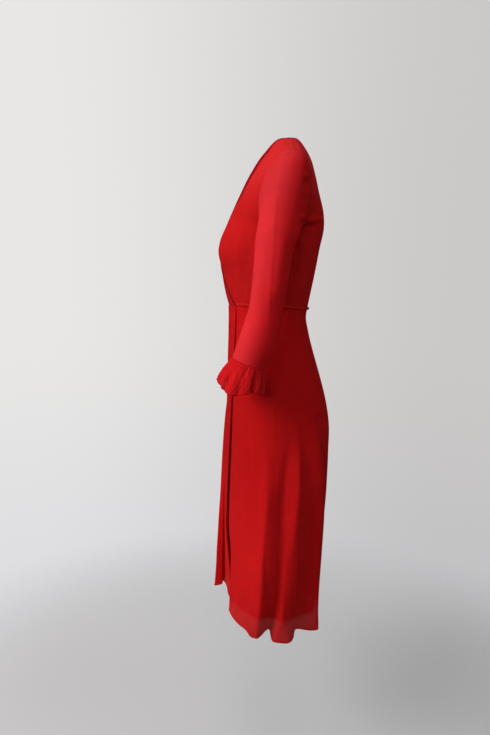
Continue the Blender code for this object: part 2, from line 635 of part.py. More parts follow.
def build_knot(centre, outward):
    """A closed egg-shaped knot: half sizes along the waist, outward and upward."""
    around, rises = 12, 7
    turn = np.arange(around) / around * 2 * np.pi
    rise = np.linspace(-1, 1, rises + 2)[1:-1, None]
    girth = np.sqrt(1 - rise**2)
    along, out, up = KNOT_HALF_SIZES
    sideways = np.array([-outward[1], outward[0], 0])
    shell = (
        centre
        + along * (girth * np.cos(turn))[..., None] * sideways
        + out * (girth * np.sin(turn))[..., None] * outward
        + up * rise[..., None] * np.array([0, 0, 1.0])
    )
    poles = centre + np.array([[0, 0, -up], [0, 0, up]])
    points = np.concatenate([poles, shell.reshape(-1, 3)])
    belt = np.arange(rises * around).reshape(rises, around) + 2
    belt = np.concatenate([belt, belt[:, :1]], axis=1)
    quads = np.stack([belt[:-1, :-1], belt[1:, :-1], belt[1:, 1:], belt[:-1, 1:]], axis=-1)
    faces = quads.reshape(-1, 4).tolist()
    faces += [[0, a, b] for a, b in zip(belt[0, :-1].tolist(), belt[0, 1:].tolist())]
    faces += [[1, b, a] for a, b in zip(belt[-1, :-1].tolist(), belt[-1, 1:].tolist())]
    mesh = bpy.data.meshes.new("tie_knot")
    mesh.from_pydata(points.tolist(), [], faces)
    mesh.shade_smooth()
    mesh.materials.append(plain_material("tie_knot", RED, 0.62))
    bpy.context.scene.collection.objects.link(bpy.data.objects.new("tie_knot", mesh))


def build_tie():
    angles = np.linspace(TIE_START_ANGLE, TIE_STOP_ANGLE, 29)
    points = skirt_grid(angles, np.full(3, WAIST_Z), lift=np.array(TIE_LIFT) + TIE_WALL)
    points[..., 2] += np.array([0.5, 0.0, -0.5]) * TIE_HEIGHT
    cloth("waist_tie", points, wall=TIE_WALL)

    spot = skirt_grid([KNOT_ANGLE], [WAIST_Z])[0, 0]
    proud = skirt_grid([KNOT_ANGLE], [WAIST_Z], lift=1.0)[0, 0] - spot
    build_knot(spot + proud * KNOT_STANDOFF, proud)

    for name, side, length in (
        ("tie_end_front", 1, TIE_END_LENGTHS[0]),
        ("tie_end_back", -1, TIE_END_LENGTHS[1]),
    ):
        drop = np.linspace(KNOT_HALF_SIZES[2] + 0.001, length, 11)
        middle = KNOT_ANGLE + side * TIE_END_SHIFT * (1 + 0.25 * drop / length)
        away = 0.0070 + 0.0030 * np.sin(drop * 24) * drop / length + TIE_WALL
        columns = [
            skirt_point(middle + edge, WAIST_Z - drop, lift=away)
            for edge in (-TIE_END_HALF_ANGLE, 0.0, TIE_END_HALF_ANGLE)
        ]
        cloth(name, np.stack(columns), wall=TIE_WALL)


def main():
    for leftover in list(bpy.data.objects):
        bpy.data.objects.remove(leftover, do_unlink=True)
    build_bodice()
    build_skirt()
    build_sleeves()
    build_tie()


main()
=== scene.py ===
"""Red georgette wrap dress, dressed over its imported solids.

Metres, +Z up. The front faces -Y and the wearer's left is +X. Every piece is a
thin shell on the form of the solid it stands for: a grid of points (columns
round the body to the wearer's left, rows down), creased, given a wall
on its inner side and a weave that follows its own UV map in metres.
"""

from __future__ import annotations

import logging
from dataclasses import dataclass, field, replace
from enum import Enum
from typing import Callable

import bpy
import numpy as np
from mathutils import Matrix

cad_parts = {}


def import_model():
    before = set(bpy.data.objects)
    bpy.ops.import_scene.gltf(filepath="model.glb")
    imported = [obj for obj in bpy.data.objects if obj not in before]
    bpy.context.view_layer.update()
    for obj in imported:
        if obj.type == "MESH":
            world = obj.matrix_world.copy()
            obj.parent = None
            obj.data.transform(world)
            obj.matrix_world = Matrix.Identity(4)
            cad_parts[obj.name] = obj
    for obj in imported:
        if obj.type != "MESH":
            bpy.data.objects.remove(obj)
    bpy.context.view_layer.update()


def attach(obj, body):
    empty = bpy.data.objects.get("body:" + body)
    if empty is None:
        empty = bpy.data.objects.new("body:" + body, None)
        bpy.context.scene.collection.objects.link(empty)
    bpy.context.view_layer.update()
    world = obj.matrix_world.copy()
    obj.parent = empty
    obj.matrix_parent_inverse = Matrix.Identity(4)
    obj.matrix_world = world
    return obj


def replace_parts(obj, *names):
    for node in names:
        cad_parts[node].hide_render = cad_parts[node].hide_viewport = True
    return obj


LOG = logging.getLogger("wrap_dress")
Array = np.ndarray
Pair = tuple[float, float]
Point = tuple[float, float, float]
Rgb = Point
Table = tuple[tuple[float, ...], ...]
Surface = Callable[[Array, Array], Array]
Socket = bpy.types.NodeSocket
Feed = Socket | float | tuple[float, ...]
Feeds = dict[str | int, Feed]

# Heights below the neck points.
WAIST_Z = -0.365
HEM_Z = -1.098
LINING_HEM_Z = -1.063
FLOOR_Z = -1.46

# Least length and least share that something is divided by.
TINY = 1e-12
LEAST_FADE = 1e-3

# Close steps of a grid beside its edge, as shares of a band; points of a crease's line.
CLOSE_STEPS = np.array([0.0, 0.08, 0.2, 0.36, 0.54, 0.76])
CREASE_POINTS = 25

# A seam: width of its dip, and how far in, how wide and how high its allowance shows.
SEAM_WIDTH = 0.0012
ALLOWANCE_IN = 0.006
ALLOWANCE_WIDTH = 0.003
ALLOWANCE_RISE = 0.00005

# A rolled hem: share of the wall its edge closes by, how wide that is, how it fades out.
PINCH_SHARE = 0.42
PINCH_WIDTH = 0.0004
HEM_FADE = 0.001
THINNEST = 0.00005

# A stitch: radius, length with its gap, share of that it covers, sides, widths
# along it in radii, and how deep its ends sink in radii.
THREAD_RADIUS = 0.00016
STITCH_PITCH = 0.0024
STITCH_SHARE = 0.72
THREAD_SIDES = 6
THREAD_WIDTHS = np.array([0.35, 1.0, 1.0, 0.35])
THREAD_SINK = 0.25


# ---- curves


def smooth_table(rows: Table, at: Array) -> Array:
    """Reads a table by a smooth curve: cubic Hermite pieces between its rows.

    Args:
        rows: rows of a rising first column and the values that go with it.
        at: values of the first column to read at.

    Returns:
        The other columns at those values, one array each.
    """
    table = np.array(rows, float)
    knots, values = table[:, 0], table[:, 1:]
    slopes = np.gradient(values, knots, axis=0)
    at = np.clip(np.asarray(at, float), knots[0], knots[-1])
    low = np.clip(np.searchsorted(knots, at, side="right") - 1, 0, len(knots) - 2)
    step = (knots[low + 1] - knots[low])[..., None]
    t = (at - knots[low])[..., None] / step
    found = (
        values[low] * (1 + 2 * t) * (1 - t) ** 2
        + values[low + 1] * t * t * (3 - 2 * t)
        + slopes[low] * step * t * (1 - t) ** 2
        - slopes[low + 1] * step * t * t * (1 - t)
    )
    return np.moveaxis(found, -1, 0)


def smooth_step(share: Array) -> Array:
    """3s^2 - 2s^3 of the share, held between 0 and 1."""
    share = np.clip(share, 0, 1)
    return share * share * (3 - 2 * share)


def unit(vectors: Array) -> Array:
    """The vectors at length 1."""
    return vectors / np.maximum(np.linalg.norm(vectors, axis=-1, keepdims=True), TINY)


def graded(first: float, last: float, step: float, edge: float, both: bool = True) -> Array:
    """Values from first to last, an even step apart, closing up towards the ends.

    Args:
        first: the first value.
        last: the last value, on either side of the first.
        step: the even step between values.
        edge: how far in from an end the close steps reach.
        both: close up at the first end as well as the last.

    Returns:
        The values in order.
    """
    way = 1.0 if last > first else -1.0
    close = edge * CLOSE_STEPS
    start = first + way * edge if both else first
    stop = last - way * edge
    count = max(int(round(abs(stop - start) / step)), 1)
    middle = np.linspace(start, stop, count + 1)
    head = first + way * close if both else np.array([])
    return np.concatenate([head, middle, (last - way * close)[::-1]])


def surface_normals(points: Array, round_piece: bool) -> Array:
    """Outward unit normals of a grid: (step down a row) x (step along a column).

    Args:
        points: the grid, (columns, rows, 3).
        round_piece: the last column joins the first.

    Returns:
        A unit vector for each point.
    """
    if round_piece:
        along = np.roll(points, -1, axis=0) - np.roll(points, 1, axis=0)
    else:
        along = np.gradient(points, axis=0)
    return unit(np.cross(np.gradient(points, axis=1), along))


def run_lengths(points: Array, axis: int) -> Array:
    """Length from the first point to each one along an axis of a grid.

    Args:
        points: the grid, (columns, rows, 3).
        axis: 0 along the columns' order, 1 down the rows.

    Returns:
        The running sum of the steps, the same shape as the grid.
    """
    steps = np.linalg.norm(np.diff(points, axis=axis), axis=-1)
    start = np.zeros_like(np.take(steps, [0], axis=axis))
    return np.cumsum(np.concatenate([start, steps], axis=axis), axis=axis)


# ---- creases


@dataclass(frozen=True)
class Crease:
    """A soft trough or ridge along a given line on a piece.

    Attributes:
        line: points of the line in the piece's own two parameters.
        width: half width in metres.
        height: push in metres, below 0 for a trough.
        lean: from -1 to 1, softens one flank and sharpens the other.
        fade: share of the line over which each end dies away.
    """

    line: tuple[Pair, ...]
    width: float
    height: float
    lean: float = 0.0
    fade: Pair = (0.35, 0.35)

    def push(self, grid: Array, normals: Array, surface: Surface) -> Array:
        """Height of the crease at each point: h exp(-(d/w)^2) times the end fades.

        Args:
            grid: points of the piece before it is creased.
            normals: their outward normals.
            surface: turns the line's parameters into points.

        Returns:
            The push along the normal, the shape of the grid without its last axis.
        """
        ends = np.linspace(0, 1, len(self.line))
        rows = tuple((end, *point) for end, point in zip(ends, self.line))
        line = surface(*smooth_table(rows, np.linspace(0, 1, CREASE_POINTS)))
        start, run = line[:-1], np.diff(line, axis=0)
        flat = grid.reshape(-1, 1, 3)
        share = ((flat - start) * run).sum(-1) / np.maximum((run * run).sum(-1), TINY)
        share = np.clip(share, 0, 1)
        away = flat - (start + share[..., None] * run)
        gap = np.linalg.norm(away, axis=-1)
        near = gap.argmin(axis=1)
        pick = np.arange(len(near))
        side = np.cross(run[near], away[pick, near])
        side = np.sign((side * normals.reshape(-1, 3)).sum(-1))
        along = (near + share[pick, near]) / len(run)
        ends_off = smooth_step(along / max(self.fade[0], LEAST_FADE))
        ends_off = ends_off * smooth_step((1 - along) / max(self.fade[1], LEAST_FADE))
        wide = self.width * (1 + self.lean * side)
        found = self.height * ends_off * np.exp(-((gap[pick, near] / wide) ** 2))
        return found.reshape(grid.shape[:-1])


def pressed(*rows: tuple) -> tuple[Crease, ...]:
    """Creases of rows: half width, height, lean, the two fades, then the line's points."""
    return tuple(Crease(row[5:], *row[:3], row[3:5]) for row in rows)


def varied(creases: tuple[Crease, ...], shift: float, share: float) -> tuple[Crease, ...]:
    """The creases of the other side: the same kinds, but not in the same places.

    Args:
        creases: those of the first side.
        shift: how far they move in the piece's second parameter, one way and
            the other in turn.
        share: how strong every second one stays.

    Returns:
        The moved creases.
    """
    return tuple(
        replace(
            crease,
            line=tuple((a, b + (shift if n % 2 else -shift)) for a, b in crease.line),
            height=crease.height * (share if n % 2 else 1.0),
        )
        for n, crease in enumerate(creases)
    )


def creased(
    grid: Array, creases: tuple[Crease, ...], surface: Surface, round_piece: bool = False
) -> Array:
    """The grid with every crease pushed along the normals it had without them.

    Args:
        grid: points of the piece.
        creases: what to press into it.
        surface: turns the creases' parameters into points.
        round_piece: the last column joins the first.

    Returns:
        The creased grid.
    """
    normals = surface_normals(grid, round_piece)
    push = np.zeros(grid.shape[:-1])
    for crease in creases:
        push = push + crease.push(grid, normals, surface)
    return grid + normals * push[..., None]


# ---- shells


class Edge(Enum):
    """How an edge of a piece is finished."""

    SEAM = "turned under and sewn to its neighbour"
    HEM = "rolled narrow and stitched"


class Line(Enum):
    """Which edge of a piece a row of stitches runs along."""

    FIRST_COLUMN = "first column"
    LAST_COLUMN = "last column"
    LAST_ROW = "last row"


class Side(Enum):
    """The wearer's two sides."""

    LEFT = "left"
    RIGHT = "right"


class Held(Enum):
    """How a piece of cloth is held."""

    HUNG = "hung"
    STRETCHED = "stretched"
    GATHERED = "gathered"


@dataclass
class Shell:
    """A piece of cloth: a grid with a wall, finished edges and a UV map in metres.

    Attributes:
        name: name of the object.
        grid: outer face, (columns, rows, 3).
        wall: thickness of the cloth.
        round_piece: the last column joins the first.
        top: finish of the first row.
        bottom: finish of the last row.
        first: finish of the first column.
        last: finish of the last column.
        hem_width: width of a rolled hem.
        hem_rise: how much a rolled hem stands proud on each face.
        seam_dip: how deep a seam draws the cloth in.
    """

    name: str
    grid: Array
    wall: float = 0.0006
    round_piece: bool = False
    top: Edge = Edge.SEAM
    bottom: Edge = Edge.SEAM
    first: Edge = Edge.SEAM
    last: Edge = Edge.SEAM
    hem_width: float = 0.0035
    hem_rise: float = 0.00045
    seam_dip: float = 0.00014

    def edge_distances(self) -> list[tuple[Edge, Array]]:
        """Distance of each point from each edge, along the cloth.

        Returns:
            The kind of each edge and the distances from it.
        """
        down = run_lengths(self.grid, 1)
        found = [(self.top, down), (self.bottom, down[:, -1:] - down)]
        if not self.round_piece:
            along = run_lengths(self.grid, 0)
            found += [(self.first, along), (self.last, along[-1:] - along)]
        return found

    def faces_of_cloth(self) -> tuple[Array, Array]:
        """Outer and inner faces of the cloth, with its seams dipped and hems rolled.

        A seam dips the outer face by its depth times exp(-(d/width)^2), and lifts it
        in the same way over the allowance, a little further in. A hem swells both
        faces by a half ellipse over its width and closes at the very edge.

        Returns:
            The two grids.
        """
        normals = surface_normals(self.grid, self.round_piece)
        out = np.zeros(self.grid.shape[:-1])
        into = np.full(self.grid.shape[:-1], self.wall)
        for kind, away in self.edge_distances():
            if kind is Edge.SEAM:
                dip = self.seam_dip * np.exp(-((away / SEAM_WIDTH) ** 2))
                lift = np.exp(-(((away - ALLOWANCE_IN) / ALLOWANCE_WIDTH) ** 2))
                out = out - dip + ALLOWANCE_RISE * lift
                into = into + dip
            else:
                share = np.clip(1 - 2 * away / self.hem_width, -1, 1)
                swell = self.hem_rise * np.sqrt(1 - share**2)
                pinch = self.wall * PINCH_SHARE * np.exp(-((away / PINCH_WIDTH) ** 2))
                out = out + swell - pinch
                into = into + swell - pinch
        outer = self.grid + normals * out[..., None]
        inner = self.grid - normals * np.maximum(into, THINNEST)[..., None]
        return outer, inner

    def rolled(self) -> Array:
        """How far each point belongs to a rolled hem.

        Returns:
            1 in a hem, falling to 0 a little way past it.
        """
        share = np.zeros(self.grid.shape[:-1])
        for kind, away in self.edge_distances():
            if kind is Edge.HEM:
                share = np.maximum(share, 1 - smooth_step((away - self.hem_width) / HEM_FADE))
        return share

    def uv(self) -> Array:
        """UV in metres: u along the middle row, v down the longest column.

        Returns:
            A pair for each point; a round piece has its first column twice.
        """
        loop = np.concatenate([self.grid, self.grid[:1]]) if self.round_piece else self.grid
        u = run_lengths(loop, 0)[:, self.grid.shape[1] // 2]
        v = -run_lengths(self.grid, 1).max(axis=0)
        return np.stack(np.broadcast_arrays(u[:, None], v[None, :]), axis=-1)

    def mesh(self) -> bpy.types.Mesh:
        """The closed mesh: outer quads, inner quads turned round, and rims between.

        Returns:
            The mesh, with its "cloth" UV map and its "rolled" attribute.
        """
        columns, rows = self.grid.shape[:2]
        outer, inner = self.faces_of_cloth()
        points = np.concatenate([outer.reshape(-1, 3), inner.reshape(-1, 3)])
        wide = columns + 1 if self.round_piece else columns
        index = np.arange(wide * rows).reshape(wide, rows)
        a, b, c, d = index[:-1, :-1], index[:-1, 1:], index[1:, 1:], index[1:, :-1]
        size = wide * rows
        sheets = [np.stack([a, b, c, d], -1), np.stack([d, c, b, a], -1) + size]
        rims = [(index[:-1, 0], index[1:, 0]), (index[1:, -1], index[:-1, -1])]
        if not self.round_piece:
            rims += [(index[0, 1:], index[0, :-1]), (index[-1, :-1], index[-1, 1:])]
        quads = [s.reshape(-1, 4) for s in sheets]
        quads += [np.stack([p, q, q + size, p + size], -1) for p, q in rims]
        corners = np.concatenate(quads)
        layer, spot = corners // size, corners % size
        vertex = layer * (columns * rows) + (spot // rows % columns) * rows + spot % rows
        mesh = bpy.data.meshes.new(self.name)
        mesh.vertices.add(len(points))
        mesh.vertices.foreach_set("co", points.astype(np.float32).ravel())
        mesh.loops.add(vertex.size)
        mesh.loops.foreach_set("vertex_index", vertex.astype(np.int32).ravel())
        mesh.polygons.add(len(vertex))
        mesh.polygons.foreach_set("loop_start", np.arange(0, vertex.size, 4, dtype=np.int32))
        mesh.update(calc_edges=True)
        layer_uv = mesh.uv_layers.new(name="cloth")
        layer_uv.data.foreach_set("uv", self.uv().reshape(-1, 2)[spot].astype(np.float32).ravel())
        hem = mesh.attributes.new("rolled", "FLOAT", "POINT")
        hem.data.foreach_set("value", np.tile(self.rolled().ravel(), 2).astype(np.float32))
        mesh.shade_smooth()
        mesh.validate()
        return mesh


def thread_mesh(name: str, line: Array, outward: Array, pitch: float) -> bpy.types.Mesh:
    """A row of stitches: short six-sided threads, pitched along a line.

    Each stitch bows out of the cloth as sin(pi t) and narrows at both ends.

    Args:
        name: name of the mesh.
        line: points of the seam line, (n, 3).
        outward: unit normals of the cloth at those points.
        pitch: length of one stitch and its gap.

    Returns:
        The mesh of all stitches.
    """
    steps = np.concatenate([[0], np.cumsum(np.linalg.norm(np.diff(line, axis=0), axis=1))])
    count = max(int(steps[-1] / pitch), 1)
    rings, sides = len(THREAD_WIDTHS), THREAD_SIDES
    t = np.linspace(0, 1, rings)
    at = (np.arange(count)[:, None] + 0.5 + (t - 0.5) * STITCH_SHARE) * (steps[-1] / count)
    spine = np.stack([np.interp(at, steps, line[:, k]) for k in range(3)], -1)
    up = unit(np.stack([np.interp(at, steps, outward[:, k]) for k in range(3)], -1))
    side = unit(np.cross(unit(np.gradient(spine, axis=1)), up))
    spine = spine + up * (THREAD_RADIUS * (np.sin(np.pi * t) - THREAD_SINK))[None, :, None]
    turn = np.arange(sides) / sides * 2 * np.pi
    spokes = side[:, :, None] * np.cos(turn)[:, None] + up[:, :, None] * np.sin(turn)[:, None]
    points = spine[:, :, None] + (THREAD_RADIUS * THREAD_WIDTHS)[None, :, None, None] * spokes
    base = np.arange(rings * sides).reshape(rings, sides)
    wrap = np.concatenate([base, base[:, :1]], axis=1)
    belts = np.stack([wrap[:-1, :-1], wrap[:-1, 1:], wrap[1:, 1:], wrap[1:, :-1]], -1)
    # Two four-sided faces close each end.
    caps = np.array([[5, 4, 3, 2], [5, 2, 1, 0], [18, 19, 20, 21], [18, 21, 22, 23]])
    one = np.concatenate([belts.reshape(-1, 4), caps])
    faces = (one[None] + (np.arange(count) * rings * sides)[:, None, None]).reshape(-1, 4)
    mesh = bpy.data.meshes.new(name)
    mesh.from_pydata(points.reshape(-1, 3), [], faces)
    mesh.shade_smooth()
    return mesh


# ---- finishes

# Scale of a wave texture that repeats once a metre.
METRE_WAVE = 0.314159

# The crepe's pebbles for each thread, and how far gloss swings about the roughness.
PEBBLES = 0.55
GLOSS_SWING = 0.07


class Way(Enum):
    """How a value is carried from one span to another."""

    SOFT = "SMOOTHSTEP"
    EVEN = "LINEAR"


@dataclass(frozen=True)
class Wiring:
    """The shader nodes of one material or world, in its node tree."""

    tree: bpy.types.NodeTree

    def feed(self, node: bpy.types.Node, feeds: Feeds) -> None:
        """Sets a node's inputs to values, or joins them to other nodes' outputs.

        Args:
            node: the node.
            feeds: value or source of each input, by its name or number.
        """
        for name, value in feeds.items():
            if isinstance(value, Socket):
                self.tree.links.new(value, node.inputs[name])
            else:
                node.inputs[name].default_value = value

    def add(self, kind: str, feeds: Feeds | None = None, **settings: str) -> bpy.types.Node:
        """Adds a node.

        Args:
            kind: the node's type.
            feeds: value or source of its inputs.
            settings: its own properties.

        Returns:
            The node.
        """
        node = self.tree.nodes.new(f"ShaderNode{kind}")
        for name, setting in settings.items():
            setattr(node, name, setting)
        self.feed(node, feeds or {})
        return node

    def dress(self, feeds: Feeds) -> None:
        """Sets or joins inputs of the material's shader."""
        self.feed(self.tree.nodes["Principled BSDF"], feeds)

    def maths(self, operation: str, *terms: Feed) -> Socket:
        """The result of one operation on its terms."""
        return self.add("Math", dict(enumerate(terms)), operation=operation).outputs[0]

    def ranged(self, value: Feed, start: Pair = (0, 1), end: Pair = (0, 1), way: Way = Way.SOFT) -> Socket:
        """A value carried over from the start span to the end span."""
        feeds = dict(zip(("Value", "From Min", "From Max", "To Min", "To Max"), (value, *start, *end)))
        return self.add("MapRange", feeds, interpolation_type=way.value).outputs["Result"]

    def mixed(self, share: Feed, first: Feed, last: Feed, way: str = "MULTIPLY") -> Socket:
        """The first colour multiplied or mixed with the last, by the share."""
        return self.add("Mix", {0: share, 6: first, 7: last}, data_type="RGBA", blend_type=way).outputs[2]

    def ramped(self, share: Feed, *stops: tuple[float, Rgb]) -> Socket:
        """A colour that runs between two stops.

        Args:
            share: where to read it, from 0 to 1.
            stops: place and colour of each of its two ends.

        Returns:
            The socket of the colour.
        """
        ramp = self.add("ValToRGB", {"Fac": share})
        for element, (position, colour) in zip(ramp.color_ramp.elements, stops):
            element.position = position
            element.color = (*colour, 1.0)
        return ramp.outputs["Color"]


def blank_material(name: str) -> tuple[bpy.types.Material, Wiring]:
    """A new material and its wiring.

    Args:
        name: name of the material.

    Returns:
        Both.
    """
    material = bpy.data.materials.new(name)
    material.use_nodes = True
    return material, Wiring(material.node_tree)


@dataclass(frozen=True)
class PaintedLightAndShade:
    """Painted light and shade: a change of the cloth's colour that grows along one direction, lighter for
    painted light and darker for painted shade.

    Attributes:
        tint: what the colour is multiplied by where the painted light or shade is full.
        start: how far along the direction it starts, in metres.
        full: how far along the direction it is full.
        way: the direction in which it grows.
    """

    tint: Rgb
    start: float
    full: float
    way: Point = (0, 0, 1)

    def over(self, wiring: Wiring, colour: Socket) -> Socket:
        """The colour with this painted light or shade: a smooth blend on the place along the way.

        Args:
            wiring: the material's nodes.
            colour: socket that gives the colour.

        Returns:
            The socket of the new colour.
        """
        place = wiring.add("TexCoord").outputs["Object"]
        reach = wiring.add("VectorMath", {0: place, 1: self.way}, operation="DOT_PRODUCT")
        share = wiring.ranged(reach.outputs["Value"], (self.start, self.full))
        return wiring.mixed(share, colour, (*self.tint, 1.0))


@dataclass(frozen=True)
class WovenFinish:
    """A plain-woven cloth of twisted yarn: threads both ways and a pebbled crepe.

    Attributes:
        name: name of the material.
        slot: a name for the kind of cloth; not used.
        deep: colour between the threads and in the pebbles' dips.
        light: colour on top of the threads.
        roughness: base roughness.
        sheen: weight of the soft sheen.
        opacity: how much one face of the cloth hides.
        pitch: distance from thread to thread in metres.
        relief: strength of the bump.
        mottle: strength of the slow change of colour over the piece.
        painted_light_and_shade: painted light and shade, changes of the colour over the piece.
        hem_tint: what the colour is multiplied by in a rolled hem, three layers thick.
    """

    name: str
    slot: str
    deep: Rgb
    light: Rgb
    roughness: float = 0.66
    sheen: float = 0.12
    opacity: float = 1.0
    pitch: float = 0.0006
    relief: float = 0.35
    mottle: float = 0.35
    painted_light_and_shade: tuple[PaintedLightAndShade, ...] = ()
    hem_tint: Rgb | None = None

    def material(self) -> bpy.types.Material:
        """The material, made once and then found again by its name."""
        return bpy.data.materials.get(self.name) or self.weave()

    def weave(self) -> bpy.types.Material:
        """Two crossed waves for the threads, noise for the crepe and the mottle.

        The height is the higher wave times the crepe's noise; the colour follows
        the height plus the mottle, and gloss and bump follow the height.

        Returns:
            The new material.
        """
        material, wiring = blank_material(self.name)
        cloth = wiring.add("UVMap", uv_map="cloth").outputs["UV"]
        yarn = {"Vector": cloth, "Scale": METRE_WAVE / self.pitch, "Distortion": 0.9}
        yarn |= {"Detail": 1.0, "Detail Scale": 0.35}
        warp, weft = (wiring.add("TexWave", yarn, bands_direction=way).outputs["Fac"] for way in "XY")
        crepe = wiring.add("TexNoise", {"Vector": cloth, "Scale": PEBBLES / self.pitch, "Detail": 3.0})
        slow = wiring.add("TexNoise", {"Vector": cloth, "Scale": 22.0, "Detail": 4.0})
        over = wiring.maths("MAXIMUM", warp, weft)
        height = wiring.maths("MULTIPLY", over, crepe.outputs["Fac"])
        blend = wiring.maths("MULTIPLY_ADD", slow.outputs["Fac"], self.mottle, height)
        colour = wiring.ramped(blend, (0.12, self.deep), (0.80, self.light))
        # Painted light and shade go over the colour of the weave.
        for painted in self.painted_light_and_shade:
            colour = painted.over(wiring, colour)
        swing = (self.roughness + GLOSS_SWING, self.roughness - GLOSS_SWING)
        bump = wiring.add("Bump", {"Strength": self.relief, "Distance": 0.0003, "Height": height})
        wiring.dress({
            "Alpha": self.opacity,
            "Roughness": wiring.ranged(height, end=swing, way=Way.EVEN),
            "Normal": bump.outputs["Normal"],
            "Specular IOR Level": 0.0,
            "Sheen Weight": self.sheen,
            "Sheen Roughness": 0.45,
            "Sheen Tint": (1.0, 0.22, 0.20, 1.0),
        })
        wiring.dress({"Base Color": self.hemmed(wiring, colour)})
        return material

    def hemmed(self, wiring: Wiring, colour: Socket) -> Socket:
        """The colour with its hems deeper, and the hems made to hide what is behind.

        Args:
            wiring: the material's nodes.
            colour: socket that gives the colour.

        Returns:
            The socket of the new colour, the old one for a finish without hems.
        """
        if self.hem_tint is None:
            return colour
        hem = wiring.add("Attribute", attribute_name="rolled").outputs["Fac"]
        wiring.dress({"Alpha": wiring.ranged(hem, end=(self.opacity, 1.0), way=Way.EVEN)})
        return wiring.mixed(hem, colour, (*self.hem_tint, 1.0))


GEORGETTE = WovenFinish(
    "red_georgette",
    "crepe",
    (0.45, 0.0055, 0.0065),
    (0.68, 0.0110, 0.0125),
    opacity=0.87,
    sheen=0.05,
    painted_light_and_shade=(
        # painted light: lighter towards the hem; painted shade: darker towards the back and low down.
        PaintedLightAndShade((1.22, 1.30, 1.30), 0.66, 0.96, (0, 0, -1)),
        PaintedLightAndShade((0.74, 0.70, 0.70), 0.40, 0.55, (0, 1, -0.5)),
    ),
    hem_tint=(0.92, 0.40, 0.40),
)
BODICE_CLOTH = WovenFinish(
    "red_georgette_lined",
    "crepe",
    (0.40, 0.006, 0.007),
    (0.59, 0.013, 0.014),
    sheen=0.03,
    # painted light: paler and pinker towards the shoulders.
    painted_light_and_shade=(PaintedLightAndShade((1.18, 1.95, 1.95), -0.16, -0.065),),
)
SHEER = WovenFinish(
    "red_georgette_single",
    "sheer",
    (0.52, 0.007, 0.009),
    (0.73, 0.014, 0.017),
    opacity=0.93,
    sheen=0.02,
    painted_light_and_shade=(
        # painted light: paler and pinker towards the front of the sleeve; painted shade: darker on the cap.
        PaintedLightAndShade((1.12, 2.5, 2.5), -0.05, 0.01, (0, -1, 0.2)),
        PaintedLightAndShade((0.85, 0.93, 0.93), -0.21, -0.11),
    ),
)
FRILL = WovenFinish(
    "red_georgette_frill",
    "sheer",
    (0.45, 0.006, 0.008),
    (0.69, 0.013, 0.016),
    opacity=0.91,
    mottle=0.45,
    sheen=0.03,
    hem_tint=(0.80, 0.45, 0.45),
)
# painted shade: the edging's colours are much darker than the rest of the cloth's, for the shade where the
# band turns in at the neck.
EDGING = WovenFinish(
    "red_georgette_edging", "trim", (0.20, 0.003, 0.004), (0.34, 0.005, 0.007), roughness=0.6
)
LINING = WovenFinish(
    "red_lining",
    "lining",
    (0.36, 0.004, 0.004),
    (0.50, 0.007, 0.008),
    roughness=0.55,
    sheen=0.08,
    pitch=0.00035,
    relief=0.2,
)
TRIM = WovenFinish(
    "red_georgette_doubled", "trim", (0.46, 0.006, 0.007), (0.68, 0.013, 0.015), roughness=0.6
)


@dataclass(frozen=True)
class ThreadFinish:
    """Twisted sewing thread: fine slanting ply on a slightly shiny yarn.

    Attributes:
        name: name of the material.
        slot: a name for the kind of cloth; not used.
        deep: colour between the plies.
        light: colour on top of them.
    """

    name: str = "red_thread"
    slot: str = "trim"
    deep: Rgb = (0.31, 0.0062, 0.00806)
    light: Rgb = (0.65, 0.013, 0.0169)

    def material(self) -> bpy.types.Material:
        """The material, made once and then found again by its name."""
        return bpy.data.materials.get(self.name) or self.spin()

    def spin(self) -> bpy.types.Material:
        """Ply waves on Object coordinates, for the colour and the bump.

        Returns:
            The new material.
        """
        material, wiring = blank_material(self.name)
        place = wiring.add("TexCoord").outputs["Object"]
        wave = wiring.add("TexWave", {"Vector": place, "Scale": 900.0}, bands_direction="DIAGONAL")
        ply = wave.outputs["Fac"]
        bump = wiring.add("Bump", {"Strength": 0.3, "Distance": 0.0001, "Height": ply})
        wiring.dress({
            "Base Color": wiring.ramped(ply, (0.0, self.deep), (1.0, self.light)),
            "Normal": bump.outputs["Normal"],
            "Roughness": 0.45,
            "Sheen Weight": 0.2,
        })
        return material


THREAD = ThreadFinish()


@dataclass(frozen=True)
class Cut:
    """How a piece was cut and is held.

    Attributes:
        node: the solid it stands for.
        flat: width and length of the cut cloth in metres.
        held: how it is held; not used.
        rests_on: names of what it hangs from or lies on; not used.
        area: flat area where the cut isn't a rectangle; not used.
    """

    node: str
    flat: Pair
    held: Held = Held.HUNG
    rests_on: tuple[str, ...] = ()
    area: float | None = None


